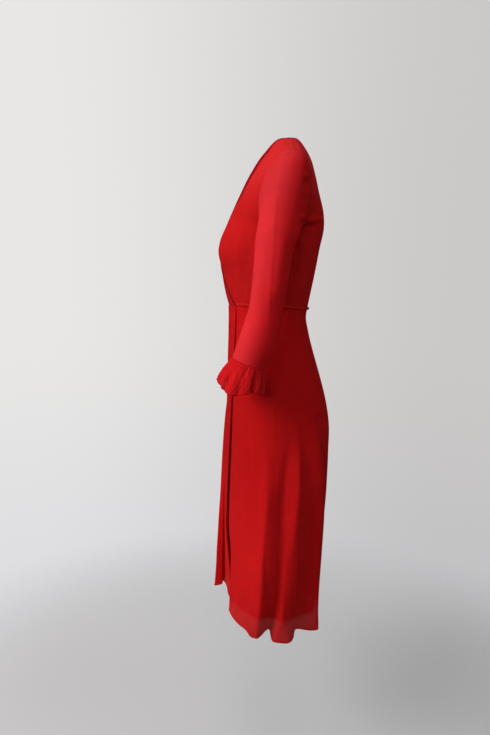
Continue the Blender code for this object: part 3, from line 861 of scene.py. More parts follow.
@dataclass
class Workroom:
    """Makes objects of meshes, dresses them and logs what they are.

    Attributes:
        counts: triangles of each piece made so far.
    """

    counts: dict[str, int] = field(default_factory=dict)

    def place(self, mesh: bpy.types.Mesh, finish: WovenFinish | ThreadFinish) -> bpy.types.Object:
        """Makes an object of a mesh, with its finish, riding on the dress.

        Args:
            mesh: the finished mesh.
            finish: what it is made of.

        Returns:
            The object.
        """
        mesh.materials.append(finish.material())
        piece = bpy.data.objects.new(mesh.name, mesh)
        bpy.context.scene.collection.objects.link(piece)
        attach(piece, "root")
        self.counts[mesh.name] = sum(len(p.vertices) - 2 for p in mesh.polygons)
        LOG.info("%s: %d triangles of %s", mesh.name, self.counts[mesh.name], finish.name)
        return piece

    def sew(
        self, shell: Shell, finish: WovenFinish, cut: Cut, others: tuple[bpy.types.Object, ...] = ()
    ) -> None:
        """Places a piece of cloth, hides its solid and states its cut.

        Args:
            shell: the piece.
            finish: its cloth.
            cut: its flat size and how it hangs.
            others: thread or cloth that goes with it; not used.
        """
        mesh = shell.mesh()
        piece = self.place(mesh, finish)
        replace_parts(piece, cut.node)
        area = sum(p.area for p in mesh.polygons) / 2
        size = run_lengths(shell.grid, 0).max(), run_lengths(shell.grid, 1).max()
        LOG.info("%s: %.4f m2, about %.3f x %.3f m, cut %s", shell.name, area, *size, cut.flat)

    def stitch(
        self, name: str, shell: Shell, line: Line, inset: float, pitch: float = STITCH_PITCH
    ) -> bpy.types.Object:
        """Runs a row of stitches along an edge of a piece.

        Args:
            name: name of the stitches.
            shell: the piece.
            line: the edge.
            inset: distance from the edge.
            pitch: length of one stitch and its gap.

        Returns:
            The object.
        """
        outer, _ = shell.faces_of_cloth()
        normals = surface_normals(shell.grid, shell.round_piece)
        if line is Line.LAST_ROW:
            away = run_lengths(outer, 1)
            row = np.abs(away[:, -1:] - away - inset).argmin(axis=1)
            column = np.arange(len(row))
            if shell.round_piece:
                row, column = np.append(row, row[0]), np.append(column, 0)
        else:
            away = run_lengths(outer, 0)
            away = away if line is Line.FIRST_COLUMN else away[-1:] - away
            column = np.abs(away - inset).argmin(axis=0)
            row = np.arange(len(column))
        mesh = thread_mesh(name, outer[column, row], normals[column, row], pitch)
        return self.place(mesh, THREAD)


# ---- bodice


@dataclass
class WornBodice:
    """The form of the bodice: rows from the shoulder seam to the waist seam.

    Each row runs from side to side as an arc that turns back towards its ends:
    x = x_edge sin(turn a)/sin(turn), y moves from y_mid to y_edge with
    (1 - cos(turn |a|))/(1 - cos(turn)) to a power, z sinks from z_mid to z_edge.

    Attributes:
        front: rows of the front: station in mm down from the shoulder seam, z_mid,
            y_mid, x_edge, y_edge, z_edge, turn in degrees, power.
        back: the same of the back.
        underarm: station of the underarm in the front and in the back.
        bust: x, z, push, width and depth of the darted fullness in front.
        blade: the same over the shoulder blades.
        neck_half_width: half width of the neck at the shoulder seams.
        overlap_x: how far the neck edge has crossed the middle at the waist.
        overlap_lift: distance of the outer front from the inner one.
        overlap_ramp: width over which the outer front lifts off.
        overlap_top: height at which it starts to, and over which it does.
        row_bend: roundness of a row's middle where it sinks to both sides.
    """

    front: Table = (
        (0, 0.0213, 0, 0.178, 0.004, -0.045, 15, 1),
        (15, 0.018, -0.02, 0.1755, -0.018, -0.05, 22, 1),
        (45, -0.0164, -0.0524, 0.167, -0.041, -0.0765, 40, 1),
        (85, -0.0619, -0.0805, 0.158, -0.0575, -0.114, 52, 1),
        (125, -0.1111, -0.1034, 0.151, -0.0615, -0.151, 62, 1.1),
        (160, -0.156, -0.1222, 0.1455, -0.045, -0.185, 76, 1.2),
        (185, -0.198, -0.1371, 0.143, -0.006, -0.2, 90, 1.35),
        (220, -0.235, -0.1395, 0.1425, -0.009, -0.235, 90, 1.5),
        (285, -0.3, -0.1377, 0.133, -0.02, -0.3, 90, 1.3),
        (320, -0.335, -0.1312, 0.127, -0.0255, -0.335, 90, 1.2),
        (350, -0.365, -0.1225, 0.1225, -0.03, -0.365, 90, 1.15),
    )
    back: Table = (
        (0, 0.0213, 0, 0.178, 0.004, -0.045, 15, 1),
        (15, 0.018, 0.017, 0.1765, 0.023, -0.0495, 22, 1),
        (40, -0.013, 0.044, 0.171, 0.0375, -0.0735, 40, 1),
        (80, -0.06, 0.064, 0.165, 0.0425, -0.112, 52, 1),
        (115, -0.104, 0.074, 0.158, 0.04, -0.15, 62, 1.1),
        (145, -0.145, 0.0808, 0.149, 0.0305, -0.185, 76, 1.3),
        (175, -0.19, 0.0842, 0.143, -0.006, -0.2, 90, 1.5),
        (210, -0.235, 0.0803, 0.1425, -0.009, -0.235, 90, 1.4),
        (275, -0.3, 0.072, 0.133, -0.02, -0.3, 90, 1.2),
        (310, -0.335, 0.066, 0.127, -0.0255, -0.335, 90, 1.15),
        (340, -0.365, 0.061, 0.1225, -0.03, -0.365, 90, 1.1),
    )
    underarm: Pair = (185, 175)
    bust: tuple[float, ...] = (0.080, -0.243, 0.015, 0.045, 0.042)
    blade: tuple[float, ...] = (0.072, -0.165, 0.006, 0.045, 0.050)
    neck_half_width: float = 0.078
    overlap_x: float = 0.0785
    overlap_lift: float = 0.0016
    overlap_ramp: float = 0.045
    overlap_top: Pair = (-0.075, 0.06)
    row_bend: float = 0.25

    def point(self, rows: Table, across: Array, station: Array) -> Array:
        """Points at across (-1 to 1) and station (mm down from the shoulder).

        Args:
            rows: the front's or the back's table.
            across: share of the way to the side.
            station: millimetres from the shoulder seam.

        Returns:
            Points, with the darted fullness pushed out of the front or back.
        """
        z_mid, y_mid, x_edge, y_edge, z_edge, turn, flat = smooth_table(rows, station)
        turn = np.radians(turn)
        bend = (1 - np.cos(turn * np.abs(across))) / (1 - np.cos(turn))
        x = x_edge * np.sin(turn * across) / np.sin(turn)
        y = y_mid + (y_edge - y_mid) * bend**flat
        soft = self.row_bend
        reach = (np.sqrt(across**2 + soft**2) - soft) / (np.sqrt(1 + soft**2) - soft)
        z = z_mid + (z_edge - z_mid) * reach
        at_x, at_z, out, wide, deep = self.bust if rows is self.front else self.blade
        full = np.exp(-(((x - at_x) / wide) ** 2)) + np.exp(-(((x + at_x) / wide) ** 2))
        full = out * full * np.exp(-(((z - at_z) / deep) ** 2))
        y = y - full if rows is self.front else y + full
        return np.stack([x, y, z], axis=-1)

    def on_front(self, across: Array, station: Array) -> Array:
        """Points of the front."""
        return self.point(self.front, across, station)

    def on_back(self, across: Array, station: Array) -> Array:
        """Points of the back."""
        return self.point(self.back, across, station)

    def across_at(self, rows: Table, x: Array, station: Array) -> Array:
        """The across value at which a row reaches this x.

        Args:
            rows: the front's or the back's table.
            x: where to reach.
            station: the rows.

        Returns:
            The across values.
        """
        found = smooth_table(rows, station)
        turn = np.radians(found[5])
        return np.arcsin(x / found[2] * np.sin(turn)) / turn

    def neck_x(self, station: Array, inset: float = 0.0) -> Array:
        """x of the left front's straight neck edge at a station."""
        full = self.neck_half_width + self.overlap_x
        return self.neck_half_width - full * station / self.front[-1][0] + inset

    def front_grid(self, first: Array, last: Array, stations: Array, share: Array) -> Array:
        """Grid of the left front between two across values for each station."""
        across = first + (last - first) * share[:, None]
        return self.on_front(across, np.broadcast_to(stations, across.shape))

    def lifted(self, points: Array) -> Array:
        """The right front, lifted level off the left one where it lies over it.

        Args:
            points: its grid before.

        Returns:
            Its grid after.
        """
        cover = smooth_step((points[..., 0] + self.overlap_x + self.overlap_ramp) / self.overlap_ramp)
        low = smooth_step((self.overlap_top[0] - points[..., 2]) / self.overlap_top[1])
        along = np.gradient(points, axis=0)
        out = np.stack([along[..., 1], -along[..., 0], 0 * along[..., 0]], axis=-1)
        return points + unit(out) * (self.overlap_lift * cover * low)[..., None]

    def neck_roll(self) -> Crease:
        """The dip behind the neck edging, which lets its edge stand proud of the chest.

        Returns:
            A crease that follows the neck edge 13 mm inside it.
        """
        stations = np.array([6.0, 40, 75, 110, 145, 172])
        across = self.across_at(self.front, self.neck_x(stations, 0.013), stations)
        line = tuple((float(a), float(b)) for a, b in zip(across, stations))
        return Crease(line, 0.020, -0.0062, 0.6, (0.28, 0.35))

    def armhole(self, across: float = 1.0) -> Array:
        """The left armhole as a loop: underarm, front edge, shoulder, back edge.

        Args:
            across: 1 for the edge itself, less for a line inside it.

        Returns:
            The points of the loop.
        """
        front, back = (
            np.array([row[0] for row in rows if row[0] <= low], float)
            for rows, low in zip((self.front, self.back), self.underarm)
        )
        front_edge = self.on_front(across + 0 * front, front)[::-1]
        back_edge = self.on_back(across + 0 * back, back)
        return np.concatenate([front_edge, back_edge[1:-1]])


def mirrored(points: Array) -> Array:
    """The grid of the other side, its columns still running to the left."""
    return points[::-1] * np.array([-1, 1, 1])


@dataclass
class Bodice:
    """Two fronts, a back and the narrow edging round the neck.

    Creases are given as (across, station) of the left front or of the back.

    Attributes:
        band_width: width of the neck edging.
        band_wall: its thickness.
        band_hem: width and rise of its fold.
        band_shares: its rows, as shares of the width.
        neck_slant: cosine of the front neck edge's slant.
        neck_drop: depth of the back neckline.
        front_creases: creases of a front.
        back_creases: creases of the back.
        front_cut: flat size of each front.
        back_cut: flat size of the back.
    """

    form: WornBodice
    room: Workroom
    band_width: float = 0.009
    band_wall: float = 0.0009
    band_hem: Pair = (0.0085, 0.0004)
    band_shares: tuple[float, ...] = (0, 0.03, 0.09, 0.18, 0.3, 0.45, 0.6, 0.75, 0.88, 0.96, 0.985)
    neck_slant: float = 0.93
    neck_drop: float = 0.050
    front_creases: tuple[Crease, ...] = pressed(
        (0.0085, 0.0019, 0.1, 0.3, 0.2, (0.39, 83), (0.54, 122), (0.625, 177), (0.64, 260), (0.57, 340)),
        (0.0075, -0.0017, 0, 0.4, 0.5, (0.8, 128), (0.79, 180), (0.76, 240), (0.7, 290)),
        (0.0095, -0.0011, 0.2, 0.4, 0.3, (0.3, 180), (0.4, 215), (0.44, 262), (0.41, 330)),
        (0.0034, 0.001, 0, 0.1, 0.7, (0.46, 344), (0.49, 326), (0.5, 305)),
        (0.0042, 0.0012, 0.2, 0.1, 0.7, (0.66, 344), (0.68, 318), (0.72, 288)),
        (0.003, 0.0008, 0, 0.1, 0.8, (0.78, 344), (0.8, 330), (0.81, 314)),
        (0.0032, -0.0008, 0, 0.1, 0.8, (0.31, 344), (0.33, 332), (0.34, 312)),
        (0.004, 0.0009, 0, 0.1, 0.8, (0.91, 344), (0.9, 322), (0.88, 296)),
    )
    back_creases: tuple[Crease, ...] = pressed(
        (0.0033, -0.0042, 0.2, 0.05, 0.4, (1.0, 65), (0.93, 71), (0.83, 80)),
        (0.0042, 0.0021, 0, 0.05, 0.4, (1.0, 53), (0.93, 58), (0.84, 66)),
        (0.0042, -0.003, 0, 0.05, 0.4, (1.0, 103), (0.91, 106), (0.8, 112)),
        (0.0055, -0.004, 0, 0.05, 0.4, (1.0, 127), (0.9, 134), (0.72, 138)),
        (0.0046, 0.0056, -0.2, 0.05, 0.4, (0.97, 143), (0.81, 148), (0.62, 153), (0.4, 160)),
        (0.005, -0.008, 0.2, 0.26, 0.4, (0.93, 178), (0.8, 169), (0.68, 168), (0.5, 172)),
        (0.006, -0.0009, 0, 0.2, 0.6, (0.8, 192), (0.69, 187), (0.52, 188)),
        (0.006, -0.0038, 0.3, 0.16, 0.4, (0.9, 190), (0.8, 225), (0.76, 270), (0.74, 325)),
        (0.0036, 0.0011, 0, 0.1, 0.7, (0.62, 336), (0.6, 318), (0.61, 296)),
        (0.0044, -0.0011, 0, 0.1, 0.7, (0.44, 336), (0.45, 312), (0.42, 280)),
        (0.0034, 0.0009, 0, 0.1, 0.8, (0.24, 336), (0.22, 322), (0.23, 302)),
        (0.0042, 0.0011, 0.2, 0.1, 0.7, (-0.1, 336), (-0.13, 314), (-0.11, 284)),
        (0.0036, -0.001, 0, 0.1, 0.8, (-0.34, 336), (-0.33, 320), (-0.36, 300)),
        (0.004, 0.001, 0, 0.1, 0.7, (-0.57, 336), (-0.6, 310), (-0.58, 288)),
        (0.0036, -0.0034, 0.2, 0.05, 0.4, (-1.0, 70), (-0.92, 77), (-0.8, 84)),
        (0.0048, -0.0024, 0, 0.05, 0.4, (-1.0, 112), (-0.86, 118), (-0.7, 120)),
        (0.0046, 0.0044, -0.2, 0.05, 0.4, (-0.98, 136), (-0.8, 144), (-0.58, 150)),
        (0.0048, -0.0064, 0.2, 0.3, 0.4, (-0.94, 172), (-0.78, 166), (-0.58, 171)),
        (0.006, -0.001, 0, 0.2, 0.6, (-0.8, 196), (-0.62, 190), (-0.4, 195)),
    )
    front_cut: Pair = (0.235, 0.385)
    back_cut: Pair = (0.42, 0.36)

    def build(self) -> None:
        """Makes the fronts, the back and the edging."""
        self.build_fronts()
        self.build_back()
        self.build_edging()

    def build_fronts(self) -> None:
        """The left front, and the right one mirrored and lifted over it."""
        form = self.form
        stations = graded(0, form.front[-1][0], 3.5, 6)
        share = graded(0, 1, 0.017, 0.03)
        neck = form.neck_x(stations, self.band_width / self.neck_slant)
        first = form.across_at(form.front, neck, stations)
        grid = form.front_grid(first, np.ones_like(stations), stations, share)
        roll = (form.neck_roll(),)
        left = creased(grid, self.front_creases + roll, form.on_front)
        right = creased(grid, varied(self.front_creases, 6, 0.8) + roll, form.on_front)
        for side, points in ((Side.LEFT, left), (Side.RIGHT, form.lifted(mirrored(right)))):
            cut = Cut(f"bodice_{side.value}_front", self.front_cut, rests_on=("bodice_back",), area=0.056)
            self.room.sew(Shell(f"{side.value}_front_bodice", points), BODICE_CLOTH, cut)

    def neck_curve(self, along: Array, inset: float) -> tuple[Array, Array]:
        """The back neckline: a parabola, deepest in the middle.

        Args:
            along: from -1 to 1, shoulder seam to shoulder seam.
            inset: distance from the neckline into the cloth.

        Returns:
            The across values and the stations.
        """
        drop = self.neck_drop + inset
        station = 1000 * drop * (1 - along**2)
        inner = (self.form.neck_half_width + inset) * along
        return self.form.across_at(self.form.back, inner, station), station

    def build_back(self) -> None:
        """The back, its rows starting at the neckline and the shoulder seams."""
        form = self.form
        middle, dip = self.neck_curve(np.linspace(-1, 1, 49), self.band_width)
        side = graded(middle[-1], 1, 0.02, 0.03, both=False)[1:]
        across = np.concatenate([-side[::-1], middle, side])
        start = np.concatenate([0 * side, dip, 0 * side])
        share = graded(0, 1, 0.0105, 0.018)
        stations = start[:, None] + (form.back[-1][0] - start[:, None]) * share
        grid = form.on_back(across[:, None] * np.ones_like(stations), stations)[::-1]
        grid = creased(grid, self.back_creases, form.on_back)
        cut = Cut("bodice_back", self.back_cut, area=0.120)
        self.room.sew(Shell("back_bodice", grid), BODICE_CLOTH, cut)

    def build_edging(self) -> None:
        """Edging along both fronts' straight necks and round the back of the neck."""
        form = self.form
        stations = graded(0, form.front[-1][0], 2.4, 4)
        width = self.band_width / self.neck_slant
        first, last = (form.across_at(form.front, form.neck_x(stations, x), stations) for x in (0.0, width))
        grid = form.front_grid(first, last, stations, np.array(self.band_shares))
        grid = creased(grid, (form.neck_roll(),), form.on_front)
        hem_width, hem_rise = self.band_hem
        for side, points, fold, seam, line in (
            (Side.LEFT, grid, Edge.HEM, Edge.SEAM, Line.LAST_COLUMN),
            (Side.RIGHT, form.lifted(mirrored(grid)), Edge.SEAM, Edge.HEM, Line.FIRST_COLUMN),
        ):
            shell = Shell(
                f"{side.value}_neck_edging", points, wall=self.band_wall, first=fold, last=seam,
                hem_width=hem_width, hem_rise=hem_rise,
            )
            node, front = f"neck_band_{side.value}", f"bodice_{side.value}_front"
            cut = Cut(node, (0.024, 0.435), Held.STRETCHED, (front,), 0.0042)
            self.finish_edging(shell, f"{side.value}_neck_stitches", line, cut)
        along = np.linspace(-1, 1, 97)
        rows = [form.on_back(*self.neck_curve(along, self.band_width * s)) for s in self.band_shares]
        shell = Shell(
            "back_neck_edging", np.stack(rows, axis=1)[::-1], wall=self.band_wall, top=Edge.HEM,
            hem_width=hem_width, hem_rise=hem_rise,
        )
        cut = Cut("neck_band_back", (0.24, 0.024), Held.STRETCHED, ("bodice_back",), 0.0026)
        self.finish_edging(shell, "back_neck_stitches", Line.LAST_ROW, cut)

    def finish_edging(self, shell: Shell, stitches: str, line: Line, cut: Cut) -> None:
        """Stitches a piece of edging down 1.6 mm in from its seam, and sews it on."""
        self.room.sew(shell, EDGING, cut, (self.room.stitch(stitches, shell, line, 0.0016),))


# ---- skirt


@dataclass
class WornSkirt:
    """The form of the skirt: level ovals with folds that open towards the hem.

    At angle a from centre front: x = w sin a, y runs from the front's or back's
    depth to the side with (1 - |cos a|) to a power; each fold pushes out by
    p g exp(-((a - a0)/s)^2), g growing from 0 at its top to 1 at the hem. The
    loose edge of the overlap turns back along the oval and laps under itself.

    Attributes:
        sections: z, half width, y of the side, of the front and of the back, and
            the powers of the front and the back.
        folds: angle at the top, half way and at the hem, half width in degrees at
            the top and at the hem, lean, push, z of the top, power of g.
        lap: of the overlap, at an angle: its swing in degrees, its moves along x
            and y, and its tuck towards the back.
        lining_lap: the same of the lining.
        overlap_angle: angle of the overlap's edge before it swings.
        lap_top: height at which the overlap starts to move.
        tuck_top: height at which the tuck starts, and over which it grows.
        draw_back: how far the front beneath hangs back.
    """

    sections: Table = (
        (-0.365, 0.1225, -0.03, -0.123, 0.06, 1.15, 1.1),
        (-0.385, 0.1265, -0.03, -0.1218, 0.058, 1.12, 1.1),
        (-0.425, 0.1385, -0.029, -0.121, 0.0652, 1.1, 1.1),
        (-0.475, 0.152, -0.026, -0.1212, 0.0793, 1.1, 1.12),
        (-0.53, 0.163, -0.021, -0.1208, 0.0967, 1.1, 1.13),
        (-0.59, 0.17, -0.014, -0.12, 0.1132, 1.1, 1.15),
        (-0.64, 0.1725, -0.008, -0.119, 0.1225, 1.1, 1.18),
        (-0.7, 0.1735, -0.003, -0.118, 0.125, 1.1, 1.2),
        (-0.8, 0.1745, 0.001, -0.1165, 0.1248, 1.12, 1.22),
        (-0.9, 0.176, 0.002, -0.115, 0.1198, 1.15, 1.25),
        (-1.0, 0.1775, 0.002, -0.114, 0.1163, 1.15, 1.28),
        (-1.098, 0.1785, 0.002, -0.113, 0.1168, 1.15, 1.3),
    )
    folds: Table = (
        (78.7, 71.8, 67.8, 12.5, 4.9, -0.42, 0.019, -0.708, 0.6),
        (77.2, 78.5, 73.2, 9.1, 3.1, 0.08, 0.025, -0.625, 0.6),
        (84.8, 91.0, 81.3, 6.8, 5.2, -0.65, -0.0407, -0.843, 2.2),
        (101.2, 90.6, 94.6, 4.6, 11.0, -0.23, 0.0286, -0.632, 0.88),
        (100.6, 91.7, 99.7, 2.6, 8.6, -0.08, -0.0212, -0.625, 0.67),
        (108.5, 104.2, 106.5, 3.6, 9.2, -0.03, 0.0518, -0.591, 1.13),
        (113.4, 104.3, 109.9, 3.0, 8.0, 0.08, -0.0564, -0.707, 1.8),
        (121.0, 131.4, 130.6, 7.1, 6.0, -0.45, 0.0311, -0.561, 0.6),
        (148.5, 137.3, 129.4, 15.4, 7.0, -0.65, -0.019, -0.706, 1.1),
        (171.7, 160.5, 160.4, 18.9, 9.5, -0.17, -0.0074, -0.56, 0.6),
        (180.3, 177.7, 180.4, 9.0, 7.4, -0.02, -0.0061, -0.857, 1.14),
        (-72.0, -67.0, -62.0, 9.0, 8.0, 0.2, 0.022, -0.64, 0.9),
        (-86.0, -84.0, -77.0, 7.0, 6.0, 0.4, -0.028, -0.66, 1.3),
        (-104.0, -100.0, -96.0, 5.0, 10.0, 0.05, 0.033, -0.62, 1),
        (-117.0, -110.0, -112.0, 5.0, 8.0, -0.1, -0.025, -0.66, 1.2),
        (-127.0, -133.0, -131.0, 8.0, 8.0, 0.35, 0.017, -0.64, 0.8),
        (-147.0, -145.0, -149.0, 12.0, 8.0, 0.3, -0.012, -0.72, 1),
        (-164.0, -166.0, -163.0, 10.0, 8.0, 0, 0.005, -0.8, 1.2),
    )
    lap: Table = (
        (-90, 0, 0, 0, 0),
        (-65, 0, 0, -0.002, 0),
        (-40, 0, 0, -0.013, 0),
        (-32, 0, 0.003, -0.019, 0),
        (-25, 0, 0.002, -0.025, 0),
        (-19, 0, 0, -0.029, 0),
        (-12, -4.0, 0, -0.0317, 0),
        (-7, -10.5, 0.001, -0.0215, 0),
        (-2, -17.5, 0.001, -0.0145, 0),
        (3, -29.0, 0.004, -0.017, 0),
        (12, -32.3, 0.004, -0.005, 0),
        (21, -33.3, 0.003, 0, 0.003),
        (30, -34.3, 0, 0, 0.007),
        (40, -36.3, 0, 0, 0.013),
    )
    lining_lap: Table = (
        (-90, 0, 0, 0, 0),
        (-65, 0, 0, -0.001, 0),
        (-40, 0, 0, -0.01, 0),
        (-32, 0, 0, -0.014, 0),
        (-25, -2.0, 0, -0.014, 0),
        (-19, -6.0, 0, -0.0133, 0),
        (-12, -11.5, 0, -0.0115, 0),
        (-7, -15.5, 0, -0.01, 0),
        (-2, -19.5, 0, -0.008, 0),
        (3, -23.7, 0, -0.006, 0),
        (12, -31.0, 0.001, -0.0036, 0),
        (21, -33.3, 0.003, 0, 0.003),
        (30, -34.3, 0, 0, 0.007),
        (40, -36.3, 0, 0, 0.013),
    )
    overlap_angle: float = 40.0
    lap_top: float = -0.60
    tuck_top: Pair = (-0.87, 0.19)
    draw_back: float = 0.0155

    def fold_depth(self, angle: Array, z: Array, ridge_share: float) -> Array:
        """Outward push of the folds: a Gaussian across each, on a path bent half way.

        Args:
            angle: degrees from centre front.
            z: height.
            ridge_share: how much of the ridges is taken, 1 for the outer cloth.

        Returns:
            The push, growing with t^power from the fold's top to the hem.
        """
        out = np.zeros(np.broadcast(angle, z).shape)
        for top, half, hem, top_spread, hem_spread, lean, push, top_z, power in self.folds:
            t = np.clip((top_z - z) / (top_z - HEM_Z), 0, 1)
            middle = top * (1 - t) * (1 - 2 * t) + 4 * half * t * (1 - t) + hem * t * (2 * t - 1)
            away = (angle - middle + 180) % 360 - 180
            spread = (top_spread + (hem_spread - top_spread) * t) * (1 + lean * np.tanh(away / 6))
            out = out + push * t**power * smooth_step(4 * t) * np.exp(-((away / spread) ** 2))
        return np.where(out > 0, ridge_share * out, out)

    def point(
        self, angle: Array, z: Array, lift: Array | float = 0.0,
        lap: Table | None = None, draw: float = 0.0, ridge_share: float = 1.0,
    ) -> Array:
        """Points of the skirt at an angle round it and a height.

        Args:
            angle: degrees from centre front to the wearer's left.
            z: height.
            lift: distance off the form.
            lap: the overlap's swing, for a piece that takes part in it.
            draw: 1 for a piece that hangs back under the overlap.
            ridge_share: how much of the outward folds the piece takes.

        Returns:
            The points.
        """
        rows = tuple((-row[0], *row[1:]) for row in self.sections)
        half_width, y_side, y_front, y_back, flat_front, flat_back = smooth_table(rows, -z)
        swing = np.clip((WAIST_Z - z) / (WAIST_Z - HEM_Z), 0, 1) ** 1.1
        lapped = np.clip((self.lap_top - z) / (self.lap_top - HEM_Z), 0, 1)
        lapped = 0.80 * lapped**0.5 + 0.20 * lapped**4
        tucked = smooth_step((self.tuck_top[0] - z) / self.tuck_top[1])
        lap_turn = lap_x = lap_y = 0.0
        if lap is not None:
            lap_turn, lap_x, lap_y, tuck = smooth_table(lap, angle)
            lap_turn, lap_x = lap_turn * swing, lap_x * lapped
            lap_y = lap_y * lapped + tuck * tucked
        edge = self.overlap_angle + self.lap[-1][1] * swing
        covered = smooth_step((edge + 20 - angle) / 20)
        turn = np.radians(angle + lap_turn)
        front = np.cos(turn) > 0
        y_mid = np.where(front, y_front, y_back)
        flat = np.where(front, flat_front, flat_back)
        x = half_width * np.sin(turn)
        y = y_mid + (y_side - y_mid) * (1 - np.abs(np.cos(turn))) ** flat
        beside = (0.0,) if ridge_share == 1 else (-3.0, 0.0, 3.0)
        out = np.min([self.fold_depth(angle + off, z, ridge_share) for off in beside], axis=0) + lift
        x = x + out * np.sin(turn) + lap_x
        y = y - out * np.cos(turn) + lap_y + self.draw_back * covered * tucked * draw
        return np.stack([x, y, z], axis=-1)


@dataclass(frozen=True)
class Panel:
    """A panel's place in the wrap, the same for the skirt and its lining.

    Attributes:
        place: its name, and that of the bodice above it.
        angles: first and last angle round the skirt.
        edges: finish of the first and the last column.
    """

    place: str
    angles: Pair
    edges: tuple[Edge, Edge]


BACK = Panel("back", (90, 270), (Edge.SEAM, Edge.SEAM))
UNDER = Panel("left_front", (-40, 90), (Edge.HEM, Edge.SEAM))
OVER = Panel("right_front", (-90, 40), (Edge.SEAM, Edge.HEM))


@dataclass(frozen=True)
class Layer:
    """What tells the skirt from its lining.

    Attributes:
        word: its name.
        finish: its cloth.
        cuts: each panel with its flat size and area.
        hem_z: height of the hem.
        steps: even steps round it in degrees and down it in metres.
        wall: thickness of the cloth.
        hem: width and rise of its rolled hem.
        insets: distance inside the form at the waist and below it.
        over_share: share of the overlap's lift that it takes.
        ridge_share: share of the outward folds that it takes.
    """

    word: str
    finish: WovenFinish
    cuts: tuple[tuple[Panel, Pair, float], ...]
    hem_z: float
    steps: Pair
    wall: float
    hem: Pair
    insets: Pair
    over_share: float
    ridge_share: float


OUTER = Layer(
    "skirt",
    GEORGETTE,
    ((BACK, (0.52, 0.735), 0.34), (UNDER, (0.40, 0.735), 0.25), (OVER, (0.42, 0.735), 0.26)),
    hem_z=HEM_Z,
    steps=(0.9, 0.0055),
    wall=0.0006,
    hem=(0.0035, 0.0005),
    insets=(0.0, 0.0),
    over_share=1.0,
    ridge_share=1.0,
)
INNER = Layer(
    "lining",
    LINING,
    ((BACK, (0.50, 0.70), 0.30), (UNDER, (0.38, 0.70), 0.22), (OVER, (0.38, 0.70), 0.22)),
    hem_z=LINING_HEM_Z,
    steps=(1.98, 0.011),
    wall=0.0005,
    hem=(0.0075, 0.00025),
    insets=(0.0018, 0.0052),
    over_share=0.5,
    ridge_share=0.3,
)


